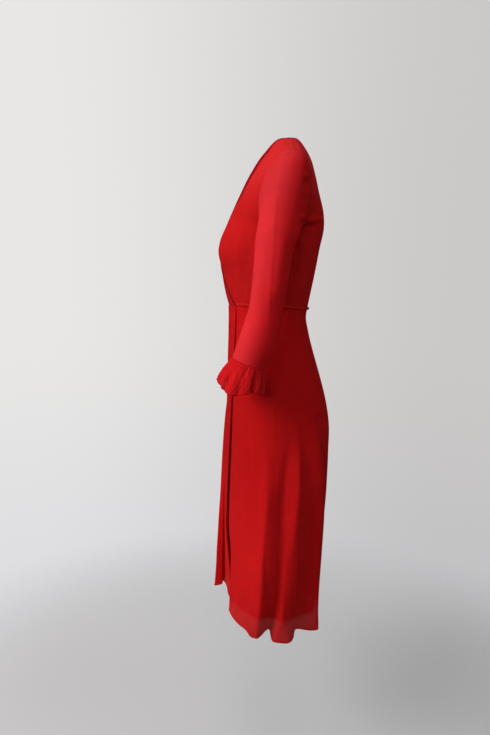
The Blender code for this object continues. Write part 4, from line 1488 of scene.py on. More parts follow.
@dataclass
class Skirt:
    """Back, left front under the wrap and right front over it, each lined.

    Creases are given as (angle, height).

    Attributes:
        creases: creases of the back and of the front beneath.
        lap_creases: creases of the front on top.
        lifts: distance of the overlap off the form at the waist, hip and hem.
        edge_bands: bands of close steps beside an edge, in degrees and in metres.
    """

    form: WornSkirt
    room: Workroom
    creases: tuple[Crease, ...] = pressed(
        (0.0048, 0.0013, 0.2, 0.4, 0.4, (52, -0.56), (51, -0.64), (53, -0.72), (52, -0.82)),
        (0.006, -0.001, 0, 0.4, 0.4, (61, -0.6), (60, -0.69), (62, -0.77)),
        (0.006, 0.0012, 0.2, 0.4, 0.4, (198, -0.58), (200, -0.67), (198, -0.78)),
        (0.006, -0.0019, 0, 0.4, 0.5, (120, -0.617), (134, -0.612), (156, -0.612)),
        (0.007, 0.001, 0, 0.4, 0.5, (122, -0.6), (137, -0.594), (153, -0.594)),
        (0.0044, -0.001, 0, 0.1, 0.8, (62, -0.372), (60, -0.392), (61, -0.42)),
        (0.005, -0.0011, 0.2, 0.1, 0.8, (101, -0.372), (99, -0.4), (101, -0.44)),
        (0.004, -0.0009, 0, 0.1, 0.8, (139, -0.372), (141, -0.39), (139, -0.412)),
        (0.0046, -0.001, 0, 0.1, 0.8, (191, -0.372), (189, -0.396), (192, -0.428)),
        (0.005, -0.0011, 0.2, 0.1, 0.8, (228, -0.372), (230, -0.402), (228, -0.446)),
        (0.0064, -0.0015, 0, 0.4, 0.5, (242, -0.604), (228, -0.597), (208, -0.601)),
        (0.0085, -0.0028, 0, 0.45, 0.12, (78, -0.8), (79, -0.9), (81, -0.99), (82, -1.08)),
        (0.0055, 0.0028, 0.2, 0.4, 0.12, (97, -0.85), (96, -0.93), (94, -1.0), (94, -1.08)),
        (0.0065, -0.0024, 0, 0.4, 0.15, (107, -0.8), (108, -0.9), (110, -0.99), (112, -1.07)),
        (0.008, 0.0022, 0, 0.4, 0.2, (118, -0.84), (120, -0.93), (121, -1.03)),
        (0.008, -0.0024, 0, 0.4, 0.15, (262, -0.84), (264, -0.93), (263, -1.04)),
        (0.007, 0.002, 0.2, 0.4, 0.2, (251, -0.86), (250, -0.95), (252, -1.05)),
    )
    lap_creases: tuple[Crease, ...] = pressed(
        (0.0046, -0.001, 0, 0.1, 0.8, (-58, -0.372), (-60, -0.394), (-58, -0.424)),
        (0.0042, -0.0009, 0, 0.1, 0.8, (-20, -0.372), (-22, -0.39), (-19, -0.414)),
        (0.006, -0.0012, 0, 0.4, 0.5, (-64, -0.64), (-52, -0.632), (-38, -0.636)),
        (0.0036, -0.0019, 0, 0.4, 0.3, (7, -0.78), (4, -0.89), (1, -0.98), (-3, -1.06)),
        (0.005, 0.0015, 0, 0.4, 0.3, (-14, -0.84), (-11, -0.94), (-14, -1.05)),
        (0.0034, 0.0019, 0, 0.3, 0.2, (24, -0.9), (29, -0.96), (24, -1.0), (31, -1.04), (27, -1.07)),
        (0.003, -0.0017, 0, 0.3, 0.2, (34, -0.93), (31, -0.99), (36, -1.03), (32, -1.07)),
    )
    lifts: tuple[float, ...] = (0.0016, 0.0030, 0.0062)
    edge_bands: Pair = (2.2, 0.006)

    def build(self) -> None:
        """Makes the three skirt panels and the three of the lining."""
        for layer in (OUTER, INNER):
            for panel, flat, area in layer.cuts:
                above = f"bodice_{panel.place}"
                cut = Cut(f"{layer.word}_{panel.place}", flat, rests_on=(above,), area=area)
                self.build_panel(panel, layer, cut)

    def waist_puckers(self, angle: Array, z: Array) -> Array:
        """Small gathers under the waist seam, uneven round it, gone 40 mm down.

        They are a product of two sines of the angle, times exp(-(drop/22 mm)^2).

        Args:
            angle: degrees from centre front.
            z: height.

        Returns:
            How far they push out.
        """
        deep = np.exp(-(((WAIST_Z - z) / 0.022) ** 2)) * smooth_step((WAIST_Z - z) / 0.003)
        ripple = np.sin(0.93 * angle + 2.0 * np.sin(0.11 * angle)) * np.cos(0.41 * angle + 1.0)
        return 0.0009 * deep * ripple

    def lift(self, panel: Panel, layer: Layer, angle: Array, z: Array) -> Array:
        """Distance of a panel off the form.

        Args:
            panel: the panel.
            layer: skirt or lining.
            angle: degrees from centre front.
            z: height.

        Returns:
            Minus its inset, or for the overlap a lift that grows down the skirt.
        """
        grown = smooth_step((WAIST_Z - z) / 0.04)
        top, low = layer.insets
        inset = top + (low - top) * grown
        if panel is not OVER:
            return -inset + self.waist_puckers(angle, z)
        waist, hip, hem = self.lifts
        over = waist + (hip - waist) * grown
        over = over + (hem - hip) * smooth_step((-0.45 - z) / 0.30)
        cover = smooth_step((angle + 75) / 30)
        return over * layer.over_share * cover - inset * (1 - cover) + self.waist_puckers(angle, z)

    def build_panel(self, panel: Panel, layer: Layer, cut: Cut) -> None:
        """Makes one panel, its hem and its stitches.

        Args:
            panel: its place.
            layer: skirt or lining.
            cut: its solid and flat size.
        """
        (around, down), (beside, above) = layer.steps, self.edge_bands
        angles = graded(*panel.angles, around, beside)
        levels = graded(WAIST_Z, layer.hem_z, down, above)
        angle, z = np.broadcast_arrays(angles[:, None], levels[None, :])
        lap = None
        if panel is OVER:
            lap = self.form.lap if layer is OUTER else self.form.lining_lap
        draw = 1.0 if panel is UNDER else 0.0
        lift = self.lift(panel, layer, angle, z)
        grid = self.form.point(angle, z, lift, lap, draw, layer.ridge_share)
        if layer is OUTER and panel is OVER:
            grid = creased(grid, self.lap_creases, lambda a, b: self.form.point(a, b, self.lifts[-1], lap))
        elif layer is OUTER:
            grid = creased(grid, self.creases, self.form.point)
        width, rise = layer.hem
        first, last = panel.edges
        shell = Shell(
            f"{panel.place}_{layer.word}", grid, wall=layer.wall, bottom=Edge.HEM, first=first, last=last,
            hem_width=width, hem_rise=rise,
        )
        threads = [self.room.stitch(f"{shell.name}_hem_stitches", shell, Line.LAST_ROW, width)]
        for edge, line in zip(panel.edges, (Line.FIRST_COLUMN, Line.LAST_COLUMN)):
            if edge is Edge.HEM:
                threads.append(self.room.stitch(f"{shell.name}_edge_stitches", shell, line, width))
        self.room.sew(shell, layer.finish, cut, tuple(threads))


# ---- sleeves


@dataclass
class WornSleeve:
    """The form of the left sleeve: a cap off the armhole, then rings down the arm.

    Attributes:
        bodice: form of the bodice.
        rings: centre and radius of each ring, from the end of the cap to the cuff.
        cap_push: share of the cap's length over which it bends into the first ring.
    """

    bodice: WornBodice
    rings: Table = (
        (0.19, -0.0225, -0.213, 0.0435),
        (0.196, -0.0285, -0.24, 0.0402),
        (0.201, -0.0325, -0.28, 0.038),
        (0.206, -0.0375, -0.328, 0.0358),
        (0.21, -0.043, -0.366, 0.0345),
        (0.213, -0.05, -0.402, 0.0372),
        (0.2155, -0.0605, -0.44, 0.0385),
        (0.2175, -0.076, -0.479, 0.0355),
    )
    cap_push: float = 0.40

    def start(self, angle: Array) -> tuple[Array, Array]:
        """The armhole and the bodice's way on over it.

        Args:
            angle: radians round the armhole, by shares of its length.

        Returns:
            Points of the armhole, and unit steps across it from the bodice.
        """
        loop = self.bodice.armhole()
        both = np.concatenate([loop, loop - self.bodice.armhole(0.97)], axis=1)
        closed = np.concatenate([both[-2:], both, both[:3]])
        steps = np.linalg.norm(np.diff(closed[:, :3], axis=0), axis=1)
        length = np.concatenate([[0], np.cumsum(steps)]) - steps[:2].sum()
        rows = tuple(map(tuple, np.concatenate([length[:, None], closed], axis=1)))
        at = (np.asarray(angle) / (2 * np.pi)) % 1.0 * length[len(loop) + 2]
        found = np.moveaxis(smooth_table(rows, at), 0, -1)
        return found[..., :3], unit(found[..., 3:])

    def centre_line(self, down: Array) -> tuple[Array, Array, Array]:
        """Centre, direction and radius at a place down the rings.

        Args:
            down: 0 at the first ring, 7 at the cuff seam.

        Returns:
            Centres, unit directions along the arm, and radii.
        """
        rows = tuple((float(i), *r) for i, r in enumerate(self.rings))
        x, y, z, radius = smooth_table(rows, down)
        slopes = np.gradient(np.array(self.rings)[:, :3], axis=0)
        along = smooth_table(tuple((float(i), *s) for i, s in enumerate(slopes)), down)
        return np.stack([x, y, z], -1), unit(np.moveaxis(along, 0, -1)), radius

    def ring(self, centre: Array, along: Array, radius: Array, angle: Array) -> Array:
        """Points about the arm: angle 0 towards the body, a quarter turn forward.

        Args:
            centre: centre of each ring.
            along: its unit direction along the arm.
            radius: its radius.
            angle: radians round it.

        Returns:
            The points.
        """
        outward = unit(np.array([1.0, 0, 0]) - along * along[..., :1])
        forward = np.cross(along, outward)
        turn = forward * np.sin(angle)[..., None] - outward * np.cos(angle)[..., None]
        return centre + np.asarray(radius)[..., None] * turn

    def point(self, angle: Array, down: Array) -> Array:
        """Points of the sleeve.

        Args:
            angle: radians round the arm.
            down: -1 at the armhole, 0 at the end of the cap, 7 at the cuff seam.

        Returns:
            The points: a cubic Bezier in the cap, rings below it.
        """
        angle, down = np.broadcast_arrays(np.asarray(angle, float), np.asarray(down, float))
        centre, along, radius = self.centre_line(np.maximum(down, 0))
        below = self.ring(centre, along, radius, angle)
        start, onward = self.start(angle)
        high = ((1 - np.cos(angle)) / 2)[..., None]
        side = np.sin(angle)[..., None]
        leave = unit(np.concatenate([0.35 + 0.58 * high, -0.12 * side, -0.94 + 0.57 * high], -1))
        smooth = smooth_step((high - 0.68) / 0.22)
        leave = unit(leave + smooth * (onward - leave))
        span = np.linalg.norm(below - start, axis=-1, keepdims=True)
        pull = (0.30 + 0.06 * smooth) * span
        control = (start, start + leave * pull, below - along * self.cap_push * span, below)
        t = np.clip(down + 1, 0, 1)[..., None]
        weights = ((1 - t) ** 3, 3 * t * (1 - t) ** 2, 3 * t * t * (1 - t), t**3)
        cap = sum(w * c for w, c in zip(weights, control))
        return np.where(down[..., None] < 0, cap, below)


def swung_back(points: Array) -> Array:
    """The right sleeve, which hangs 14 mm further back at the hand."""
    share = smooth_step((-0.21 - points[..., 2]) / 0.26)
    return points + share[..., None] * np.array([0, 0.014, 0])


@dataclass
class Sleeves:
    """Both sleeves, single layered, and the gathered ruffles at their ends.

    Creases are given as (angle in radians, place down the rings).

    Attributes:
        creases: creases of a sleeve.
        ruffle_depth: length of the ruffle.
        ruffle_radius: radius of its hem before its folds.
        ruffle_folds: angle of each fold at the seam and at the hem, half width,
            push, and the shares of the depth where it starts, is full and ends.
        ruffle_hang: angle, and how much longer the ruffle hangs there.
        ruffle_hem: width of its rolled hem.
        allowance_rings: of each ring of the seam allowance, its move away from the
            armhole's centre and its move towards the body.
        allowance_depth: how far the allowance's upper half stays under the cloth.
        sleeve_cut: flat size of a sleeve.
        ruffle_cut: flat size of a ruffle.
    """

    form: WornSleeve
    room: Workroom
    creases: tuple[Crease, ...] = pressed(
        (
            0.0042, 0.0012, -0.35, 0.08, 0.3, (2.6, -0.36), (2.85, -0.02), (3.06, 1.3), (3.09, 2.2),
            (3.17, 3.1), (3.35, 4.25), (3.48, 5.3),
        ),
        (0.015, 0.0042, 0, 0.3, 0.3, (3.36, 0.2), (3.46, 1.1), (3.5, 2.1), (3.48, 3.1), (3.45, 4.1)),
        (0.003, 0.0014, -0.2, 0.4, 0.4, (2.74, -0.86), (3.0, -0.91), (3.26, -0.96)),
        (0.0034, -0.0011, 0, 0.4, 0.4, (2.9, -0.8), (3.12, -0.85), (3.4, -0.89)),
        (0.0034, -0.0013, 0, 0.5, 0.5, (2.54, -0.46), (2.6, -0.42), (2.67, -0.41)),
        (0.0036, 0.0012, 0, 0.5, 0.5, (2.7, -0.51), (2.77, -0.47), (2.86, -0.46)),
        (0.004, -0.005, 0, 0.05, 0.5, (4.05, -0.62), (3.85, -0.6), (3.64, -0.55)),
        (0.0045, 0.0028, 0, 0.05, 0.6, (4.0, -0.69), (3.8, -0.67), (3.62, -0.63)),
        (0.0046, -0.0026, 0, 0.05, 0.6, (4.35, -0.47), (4.1, -0.44), (3.86, -0.37)),
        (0.005, -0.0022, 0, 0.05, 0.6, (4.45, -0.33), (4.27, -0.3), (3.98, -0.22)),
        (0.0046, 0.0034, 0, 0.05, 0.6, (4.55, -0.27), (4.3, -0.25), (4.05, -0.16)),
        (0.0048, -0.0055, 0, 0.05, 0.6, (4.62, -0.22), (4.4, -0.2), (3.98, -0.08)),
        (0.005, -0.0018, 0.2, 0.4, 0.4, (5.6, 3.05), (6.15, 3.15), (6.7, 3.0)),
        (0.0046, -0.0014, 0, 0.4, 0.5, (5.75, 3.55), (6.2, 3.5), (6.6, 3.62)),
        (0.0042, -0.001, 0, 0.5, 0.4, (5.9, 2.6), (6.25, 2.7), (6.55, 2.62)),
    )
    ruffle_depth: float = 0.054
    ruffle_radius: float = 0.0508
    ruffle_folds: Table = (
        (100, 124, 6, -0.005, 0, 0.6, 2.0),
        (118, 131, 7, 0.002, 0, 0.7, 2.0),
        (150, 139, 8, -0.006, 0.2, 0.8, 2.0),
        (155, 161, 8, 0.002, 0.1, 0.8, 2.0),
        (172, 178, 5, -0.0026, 0.35, 0.9, 2.0),
        (178, 178, 4, -0.0024, 0.02, 0.14, 0.3),
        (194, 196, 8, 0.002, 0, 0.7, 2.0),
        (210, 209, 4.4, -0.01, 0, 0.5, 2.0),
        (230, 223, 6, 0.002, 0, 0.7, 2.0),
        (248, 236, 5, -0.006, 0, 0.6, 2.0),
        (263, 256, 8, 0.002, 0, 0.7, 2.0),
        (286, 281, 8, -0.0046, 0, 0.7, 2.0),
        (310, 306, 7, -0.0062, 0.1, 0.7, 2.0),
        (330, 329, 10, 0.0022, 0, 0.7, 2.0),
        (352, 349, 6, -0.0056, 0, 0.6, 2.0),
        (16, 20, 9, 0.002, 0.1, 0.8, 2.0),
        (38, 42, 6, -0.006, 0, 0.6, 2.0),
        (66, 66, 8, -0.0042, 0.25, 0.9, 2.0),
    )
    ruffle_hang: Table = (
        (0, -0.001),
        (40, -0.0045),
        (90, -0.0089),
        (114, -0.0035),
        (126, 0.0014),
        (144, 0.0084),
        (174, 0.0092),
        (186, 0.0047),
        (198, 0),
        (210, -0.003),
        (240, -0.0026),
        (254, -0.004),
        (270, -0.003),
        (310, 0.002),
        (335, 0.0026),
        (360, -0.001),
    )
    ruffle_hem: float = 0.003
    allowance_rings: Table = ((-0.0015, 0.0008), (0.0012, 0.0022), (0.0060, 0.0042))
    allowance_depth: float = 0.0025
    sleeve_cut: Pair = (0.30, 0.52)
    ruffle_cut: Pair = (0.38, 0.056)

    def build(self) -> None:
        """Makes the sleeves and the ruffles."""
        self.build_sleeves()
        self.build_ruffles()

    def build_sleeves(self) -> None:
        """The left sleeve and the right one, which hangs back and creases differently."""
        angle = np.linspace(0, 2 * np.pi, 133)[:-1]
        cap = np.linspace(-1, 0, 62)[:-1]
        down = np.concatenate([cap, graded(0, 7, 0.085, 0.12, both=False)])
        grid = self.form.point(angle[:, None], down[None, :])
        left = creased(grid, self.creases, self.form.point, True)
        right = creased(grid, varied(self.creases, 0.05, 0.85), self.form.point, True)
        for side, points in ((Side.LEFT, left), (Side.RIGHT, swung_back(mirrored(right)))):
            word = side.value
            shell = Shell(f"{word}_sleeve", points, round_piece=True)
            allowance = Shell(f"{word}_armhole_allowance", self.allowance(points), round_piece=True)
            inside = self.room.place(allowance.mesh(), BODICE_CLOTH)
            cut = Cut(f"sleeve_{word}", self.sleeve_cut, rests_on=(f"bodice_{word}_front",), area=0.115)
            self.room.sew(shell, SHEER, cut, (inside,))

    def build_ruffles(self) -> None:
        """The left ruffle and its mirror image."""
        ruffle = self.ruffle_grid()
        for side, points in ((Side.LEFT, ruffle), (Side.RIGHT, swung_back(mirrored(ruffle)))):
            word, hem = side.value, self.ruffle_hem
            shell = Shell(f"{word}_cuff_ruffle", points, round_piece=True, bottom=Edge.HEM, hem_width=hem)
            thread = self.room.stitch(f"{word}_ruffle_stitches", shell, Line.LAST_ROW, hem, 0.002)
            cut = Cut(f"cuff_ruffle_{word}", self.ruffle_cut, Held.GATHERED, (f"sleeve_{word}",))
            self.room.sew(shell, FRILL, cut, (thread,))

    def allowance(self, sleeve: Array) -> Array:
        """The sleeve's seam allowance, turned into the bodice behind the armhole.

        Each ring is the seam ring moved towards the body; its lower half also moves
        away from the armhole's centre, and its upper half stays under the cloth.

        Args:
            sleeve: grid of the sleeve, its seam ring first.

        Returns:
            The grid of the allowance.
        """
        seam = sleeve[:, 0]
        centre = seam.mean(axis=0)
        away = unit(seam - centre)
        inward = np.array([-np.sign(centre[0]), 0.0, 0.0])
        low = smooth_step((centre[2] - seam[:, 2:]) / 0.03)
        high = self.allowance_depth * (1 - low)
        rings = [seam + away * (out * low - high) + inward * back for out, back in self.allowance_rings]
        return np.stack(rings, axis=1)

    def ruffle_grid(self) -> Array:
        """The left ruffle: rings that flare and tilt, folded into petals.

        Radius = seam + (hem - seam)(1 - (1 - s)^1.5) + the folds' pushes, each
        growing between its own two shares; the hang lengthens it in proportion
        to s; small gathers die away within a third of the depth, and products of
        two sines crinkle the rest.

        Returns:
            The grid of its outer face.
        """
        angle = np.linspace(0, 2 * np.pi, 301)[:-1][:, None]
        share = graded(0, 1, 0.03, 0.06)[None, :]
        angle, share = np.broadcast_arrays(angle, share)
        centre, arm, radius = self.form.centre_line(np.array(7.0))
        tilt = unit(arm * np.stack([1 + 0 * share, 1 - 0.40 * share, 1 + 0 * share], -1))
        middle = centre + arm * 0.0003 + (arm + tilt) / 2 * share[..., None] * self.ruffle_depth
        degrees = np.degrees(angle)
        out = radius + (self.ruffle_radius - radius) * (1 - (1 - share) ** 1.5)
        for seam_angle, hem_angle, spread, push, first, full, last in self.ruffle_folds:
            away = degrees - (seam_angle + (hem_angle - seam_angle) * share)
            away = (away + 180) % 360 - 180
            grown = smooth_step((share - first) / (full - first)) * (1 - smooth_step((share - last) / 0.25))
            out = out + push * grown * np.exp(-((away / spread) ** 2))
        gather = np.sin(47 * angle + 2.5 * np.sin(3 * angle)) + 0.6 * np.sin(29 * angle + 1)
        out = out + 0.0006 * gather * np.exp(-((share / 0.22) ** 2)) * np.minimum(share / 0.04, 1)
        coarse = np.sin(26 * angle + 2.2 * np.sin(6 * share + 1)) * np.sin(9 * share + 4 * np.sin(2 * angle))
        fine = 0.6 * np.sin(43 * angle + 5 * share) * np.sin(15 * share + 3 * np.sin(3 * angle))
        strong = 0.0004 + 0.0006 * np.exp(-(((degrees - 238) / 32) ** 2))
        out = out + strong * (coarse + fine) * smooth_step(share / 0.2)
        hang = share * smooth_table(self.ruffle_hang, degrees)[0]
        return self.form.ring(middle, tilt, out, angle) + tilt * hang[..., None]


# ---- tie


@dataclass
class Tie:
    """The narrow self tie round the waist, its knot and its two ends.

    Attributes:
        height: width of the band.
        wall: thickness of the folded strip.
        fold: width and rise of its folded edges.
        span: angles at which the band starts and stops.
        lifts: share of the band's width, and distance off the waist there.
        sways: angle, and how far the band has moved up there.
        knot_angle: angle of the knot.
        apart: degrees between the knot and each end.
        end_half_width: half width of an end in degrees.
        lengths: lengths of the front and the back end.
        standoff: distance of the knot's centre off the form.
        half_sizes: half the knot's size along the waist, outward and upward.
    """

    form: WornSkirt
    room: Workroom
    height: float = 0.0065
    wall: float = 0.0013
    fold: Pair = (0.0026, 0.00018)
    span: Pair = (43.0, 254.0)
    lifts: Table = ((0, 0.0022), (0.3, 0.0032), (0.7, 0.0026), (1, 0.0014))
    sways: Table = ((43, 0.0032), (90, 0.0022), (125, 0.0), (155, -0.0032), (200, -0.0030), (254, 0.0))
    knot_angle: float = 262.0
    apart: float = 2.6
    end_half_width: float = 2.35
    lengths: Pair = (0.31, 0.27)
    standoff: float = 0.0112
    half_sizes: tuple[float, ...] = (0.0125, 0.0085, 0.0105)

    def build(self) -> None:
        """Makes the band round the waist, the ends and the knot."""
        self.build_band()
        self.build_ends()
        self.build_knot()

    def build_band(self) -> None:
        """The band: lifted off the waist, its cross-section swelling like a fold."""
        angle = np.linspace(*self.span, 330)[:, None]
        share = np.array([0, 0.03, 0.09, 0.2, 0.35, 0.5, 0.65, 0.8, 0.91, 0.97, 1.0])[None, :]
        angle, share = np.broadcast_arrays(angle, share)
        lift = smooth_table(self.lifts, share)[0] + 0.0014
        ripple = 0.00035 * np.sin(angle * 0.61 + 3 * share) * np.sin(angle * 0.173 + 1)
        grid = self.form.point(angle, np.full(angle.shape, WAIST_Z), lift + ripple)
        grid[..., 2] += (0.5 - share) * self.height + smooth_table(self.sways, angle)[0]
        cut = Cut("waist_tie", (0.010, 0.43), Held.STRETCHED, ("skirt_back",), 0.0040)
        self.sew_strip("waist_band_tie", grid, cut)

    def sew_strip(self, name: str, grid: Array, cut: Cut) -> None:
        """Sews a strip whose edges are all folded.

        Args:
            name: of the piece.
            grid: the points of its outer face.
            cut: the size it was cut to and how it is held.
        """
        width, rise = self.fold
        edges = {edge: Edge.HEM for edge in ("top", "bottom", "first", "last")}
        self.room.sew(Shell(name, grid, wall=self.wall, hem_width=width, hem_rise=rise, **edges), TRIM, cut)

    def build_ends(self) -> None:
        """The two ends: they hang from the knot, turn a little and are cut slanting.

        Each sways out from the skirt by a sine of the drop and twists by another.
        """
        for word, side, length in (("front", 1, self.lengths[0]), ("back", -1, self.lengths[1])):
            share = np.array([-1, -0.93, -0.8, -0.55, -0.28, 0, 0.28, 0.55, 0.8, 0.93, 1.0])[:, None]
            drop = np.linspace(0.0075, length, 150)[None, :]
            share, drop = np.broadcast_arrays(share, drop)
            middle = self.knot_angle + side * self.apart * (1 + 0.25 * drop / length)
            away = 0.0070 + 0.0030 * np.sin(drop * 24) * drop / length + 0.0016
            away = away + 0.0006 * np.sin(drop * 55 + side) * share
            slant = 0.006 * side * share * smooth_step((drop - 0.75 * length) / (0.25 * length))
            grid = self.form.point(middle + self.end_half_width * share, WAIST_Z - drop - slant, away)
            cut = Cut(f"tie_end_{word}", (0.0125, length), rests_on=("tie_knot",))
            self.sew_strip(f"{word}_tie_end", grid, cut)

    def build_knot(self) -> None:
        """The knot: an egg wound with a wrap.

        Its radius is 1 + 0.06 of a wave that winds round it, less a groove of
        exp(-(distance to a slanting ring)^2); a fan of triangles closes each pole.
        """
        flat_z = np.array(WAIST_Z)
        spot = self.form.point(np.array(self.knot_angle), flat_z)
        outward = self.form.point(np.array(self.knot_angle), flat_z, 1.0) - spot
        centre = spot + outward * self.standoff
        sideways = np.array([-outward[1], outward[0], 0])
        rise = np.linspace(-np.pi / 2, np.pi / 2, 48)[1:-1, None]
        turn = np.linspace(0, 2 * np.pi, 73)[:-1][None, :]
        groove = np.sin(5 * rise + 2.2 * np.sin(turn + 0.6))
        puff = 1 + 0.06 * groove - 0.10 * np.exp(-(((rise - 0.35 * np.sin(turn)) / 0.16) ** 2))
        along, out, up = self.half_sizes
        girth = np.cos(rise) * puff
        egg = (
            centre
            + along * (girth * np.cos(turn))[..., None] * sideways
            + out * (girth * np.sin(turn))[..., None] * outward
            + up * (np.sin(rise) * puff)[..., None] * np.array([0, 0, 1.0])
        )
        rows, columns = egg.shape[:2]
        poles = centre + np.array([[0, 0, -up], [0, 0, up]])
        belt = np.arange(rows * columns).reshape(rows, columns)
        belt = np.concatenate([belt, belt[:, :1]], axis=1)
        quads = np.stack([belt[:-1, :-1], belt[1:, :-1], belt[1:, 1:], belt[:-1, 1:]], -1)
        low, high = np.full((2, columns), [[rows * columns], [rows * columns + 1]])
        fans = np.concatenate([
            np.stack([low, belt[0, :-1], belt[0, 1:]], -1),
            np.stack([high, belt[-1, 1:], belt[-1, :-1]], -1),
        ])
        mesh = bpy.data.meshes.new("tied_knot")
        points = np.concatenate([egg.reshape(-1, 3), poles])
        mesh.from_pydata(points, [], quads.reshape(-1, 4).tolist() + fans.tolist())
        layer = mesh.uv_layers.new(name="cloth")
        corner = np.zeros(len(mesh.loops), np.int32)
        mesh.loops.foreach_get("vertex_index", corner)
        wide = np.concatenate([(turn + 0 * rise).ravel(), [0, 0]])
        tall = np.concatenate([(rise + 0 * turn).ravel(), [-1.57, 1.57]])
        uv = np.stack([wide * 0.011, tall * 0.0105], -1)[corner]
        layer.data.foreach_set("uv", uv.astype(np.float32).ravel())
        mesh.shade_smooth()
        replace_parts(self.room.place(mesh, TRIM), "tie_knot")


# ---- studio


@dataclass(frozen=True)
class Lamp:
    """A round soft light that faces the middle of the dress: diameter, watts, colour."""

    name: str
    place: Point
    size: float
    power: float
    tint: Rgb = (1.0, 1.0, 1.0)


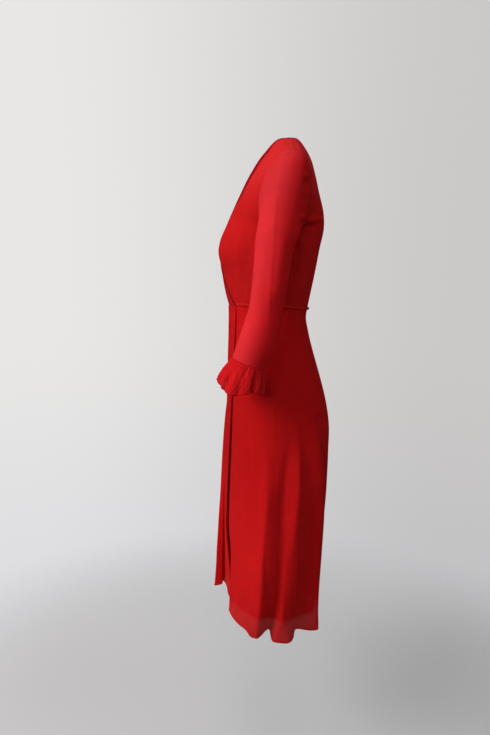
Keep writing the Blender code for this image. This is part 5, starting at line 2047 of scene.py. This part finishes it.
@dataclass
class Studio:
    """Camera, pale floor and plain soft light.

    Attributes:
        sensor: height of the camera's frame in mm.
        lens: its focal length in mm.
        eye: its place.
        pitch: degrees by which it looks down.
        roll: degrees by which it leans.
        middle: what the lamps face.
        lamps: a key from the front and above, softer ones round it, and a lift for
            the far side.
        floor_fade: distances from the middle between which the floor fades out.
    """

    sensor: float = 36.0
    lens: float = 600 / 735 * 36
    eye: Point = (1.43, -0.0825, -0.326)
    pitch: float = 7.5
    roll: float = 1.4
    middle: Point = (0.0, 0.0, -0.45)
    lamps: tuple[Lamp, ...] = (
        Lamp("key", (1.45, -2.1, 0.6), 1.4, 46, (1.0, 0.98, 0.96)),
        Lamp("front", (0.2, -2.3, 1.2), 1.8, 20, (1.0, 0.99, 0.98)),
        Lamp("top", (0.3, -0.2, 1.9), 1.6, 12),
        Lamp("side", (2.6, -0.5, 0.5), 1.8, 17),
        Lamp("back", (0.5, 2.3, 0.6), 1.8, 12),
        Lamp("far_side", (-2.5, 0.1, 0.6), 1.6, 40),
    )
    floor_radius: float = 3.2
    floor_points: int = 128
    floor_fade: Pair = (1.55, 2.0)

    def build(self) -> None:
        """Sets up the camera, the lights, the floor and the world."""
        self.add_camera()
        for lamp in self.lamps:
            self.add_light(lamp)
        self.add_floor()
        self.add_world()

    def stand(
        self, data: bpy.types.ID, place: Point, right: Array, up: Array, sight: Array
    ) -> bpy.types.Object:
        """Makes an object that looks along a line.

        Args:
            data: its camera or light.
            place: where it stands.
            right: unit direction to its right.
            up: unit direction over it.
            sight: unit direction it looks in.

        Returns:
            The object.
        """
        stood = bpy.data.objects.new(data.name, data)
        bpy.context.scene.collection.objects.link(stood)
        matrix = np.eye(4)
        matrix[:3] = np.stack([right, up, -sight, place], axis=1)
        stood.matrix_world = Matrix(matrix.tolist())
        return stood

    def add_camera(self) -> None:
        """The camera: level sight turned down by the pitch, then rolled."""
        data = bpy.data.cameras.new("camera")
        data.sensor_fit = "VERTICAL"
        data.sensor_height = self.sensor
        data.lens = self.lens
        pitch, roll = np.radians(self.pitch), np.radians(self.roll)
        sight = np.array([-np.cos(pitch), 0, -np.sin(pitch)])
        right = np.array([0.0, 1.0, 0.0])
        up = np.cross(right, sight)
        up = up * np.cos(roll) - right * np.sin(roll)
        bpy.context.scene.camera = self.stand(data, self.eye, np.cross(sight, up), up, sight)

    def add_light(self, lamp: Lamp) -> None:
        """Makes an area light of a lamp and turns it towards the middle.

        Args:
            lamp: what to make.
        """
        data = bpy.data.lights.new(lamp.name, "AREA")
        data.shape = "DISK"
        data.size = lamp.size
        data.energy = lamp.power
        data.color = lamp.tint
        sight = unit(np.array(self.middle) - np.array(lamp.place))
        right = unit(np.cross(sight, np.array([0, 0, 1.0])))
        self.stand(data, lamp.place, right, np.cross(right, sight), sight)

    def add_floor(self) -> None:
        """A pale round floor that fades out at its rim."""
        mesh = bpy.data.meshes.new("floor")
        turn = np.linspace(0, 2 * np.pi, self.floor_points + 1)[:-1]
        ring = self.floor_radius * np.stack([np.cos(turn), np.sin(turn)], -1)
        rim = np.concatenate([ring, np.full((self.floor_points, 1), FLOOR_Z)], axis=1)
        mesh.from_pydata(rim, [], [list(range(self.floor_points))])
        floor = bpy.data.objects.new("floor", mesh)
        bpy.context.scene.collection.objects.link(floor)
        material, wiring = blank_material("pale_floor")
        place = wiring.add("TexCoord").outputs["Object"]
        reach = wiring.add("VectorMath", {0: place}, operation="LENGTH").outputs["Value"]
        wiring.dress({
            "Alpha": wiring.ranged(reach, self.floor_fade, (1, 0)),
            "Base Color": (0.60, 0.60, 0.61, 1.0),
            "Roughness": 0.8,
        })
        mesh.materials.append(material)

    def add_world(self) -> None:
        """A pale backdrop to look at, with painted shade that darkens it to one side and below, and a dimmer
        one to be lit by.
        """
        world = bpy.data.worlds.new("studio")
        bpy.context.scene.world = world
        world.use_nodes = True
        world.node_tree.nodes.clear()
        wiring = Wiring(world.node_tree)
        way = wiring.add("SeparateXYZ", {0: wiring.add("TexCoord").outputs["Generated"]})
        # painted shade: the backdrop seen behind the dress darkens to one side and towards the bottom.
        across = wiring.ranged(way.outputs["Y"], (-0.34, 0.34))
        down = wiring.ranged(way.outputs["Z"], (-0.05, -0.50))
        wall = wiring.mixed(across, (0.81, 0.80, 0.79, 1.0), (0.60, 0.585, 0.575, 1.0), "MIX")
        wall = wiring.mixed(down, wall, (0.90, 0.91, 0.95, 1.0))
        seen = wiring.add("Background", {"Color": wall})
        lit = wiring.add("Background", {"Color": (0.90, 0.93, 1.0, 1.0), "Strength": 0.03})
        path = wiring.add("LightPath").outputs["Is Camera Ray"]
        both = wiring.add("MixShader", {"Fac": path, 1: lit.outputs[0], 2: seen.outputs[0]})
        wiring.add("OutputWorld", {"Surface": both.outputs[0]})
        bpy.context.scene.view_settings.view_transform = "Standard"


# ---- the dress


def corners(box: tuple) -> list[list[float]]:
    """A box's two corners as plain lists."""
    return [[float(v) for v in corner] for corner in box]


def main() -> None:
    """Builds the studio and every piece of the dress, in the order of sewing."""
    logging.basicConfig(level=logging.INFO, format="%(name)s: %(message)s")
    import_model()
    Studio().build()
    room = Workroom()
    bodice_form, skirt_form = WornBodice(), WornSkirt()
    Bodice(bodice_form, room).build()
    Skirt(skirt_form, room).build()
    Sleeves(WornSleeve(bodice_form), room).build()
    Tie(skirt_form, room).build()
    LOG.info("%d pieces, %d triangles", len(room.counts), sum(room.counts.values()))


if __name__ == "__main__":
    main()
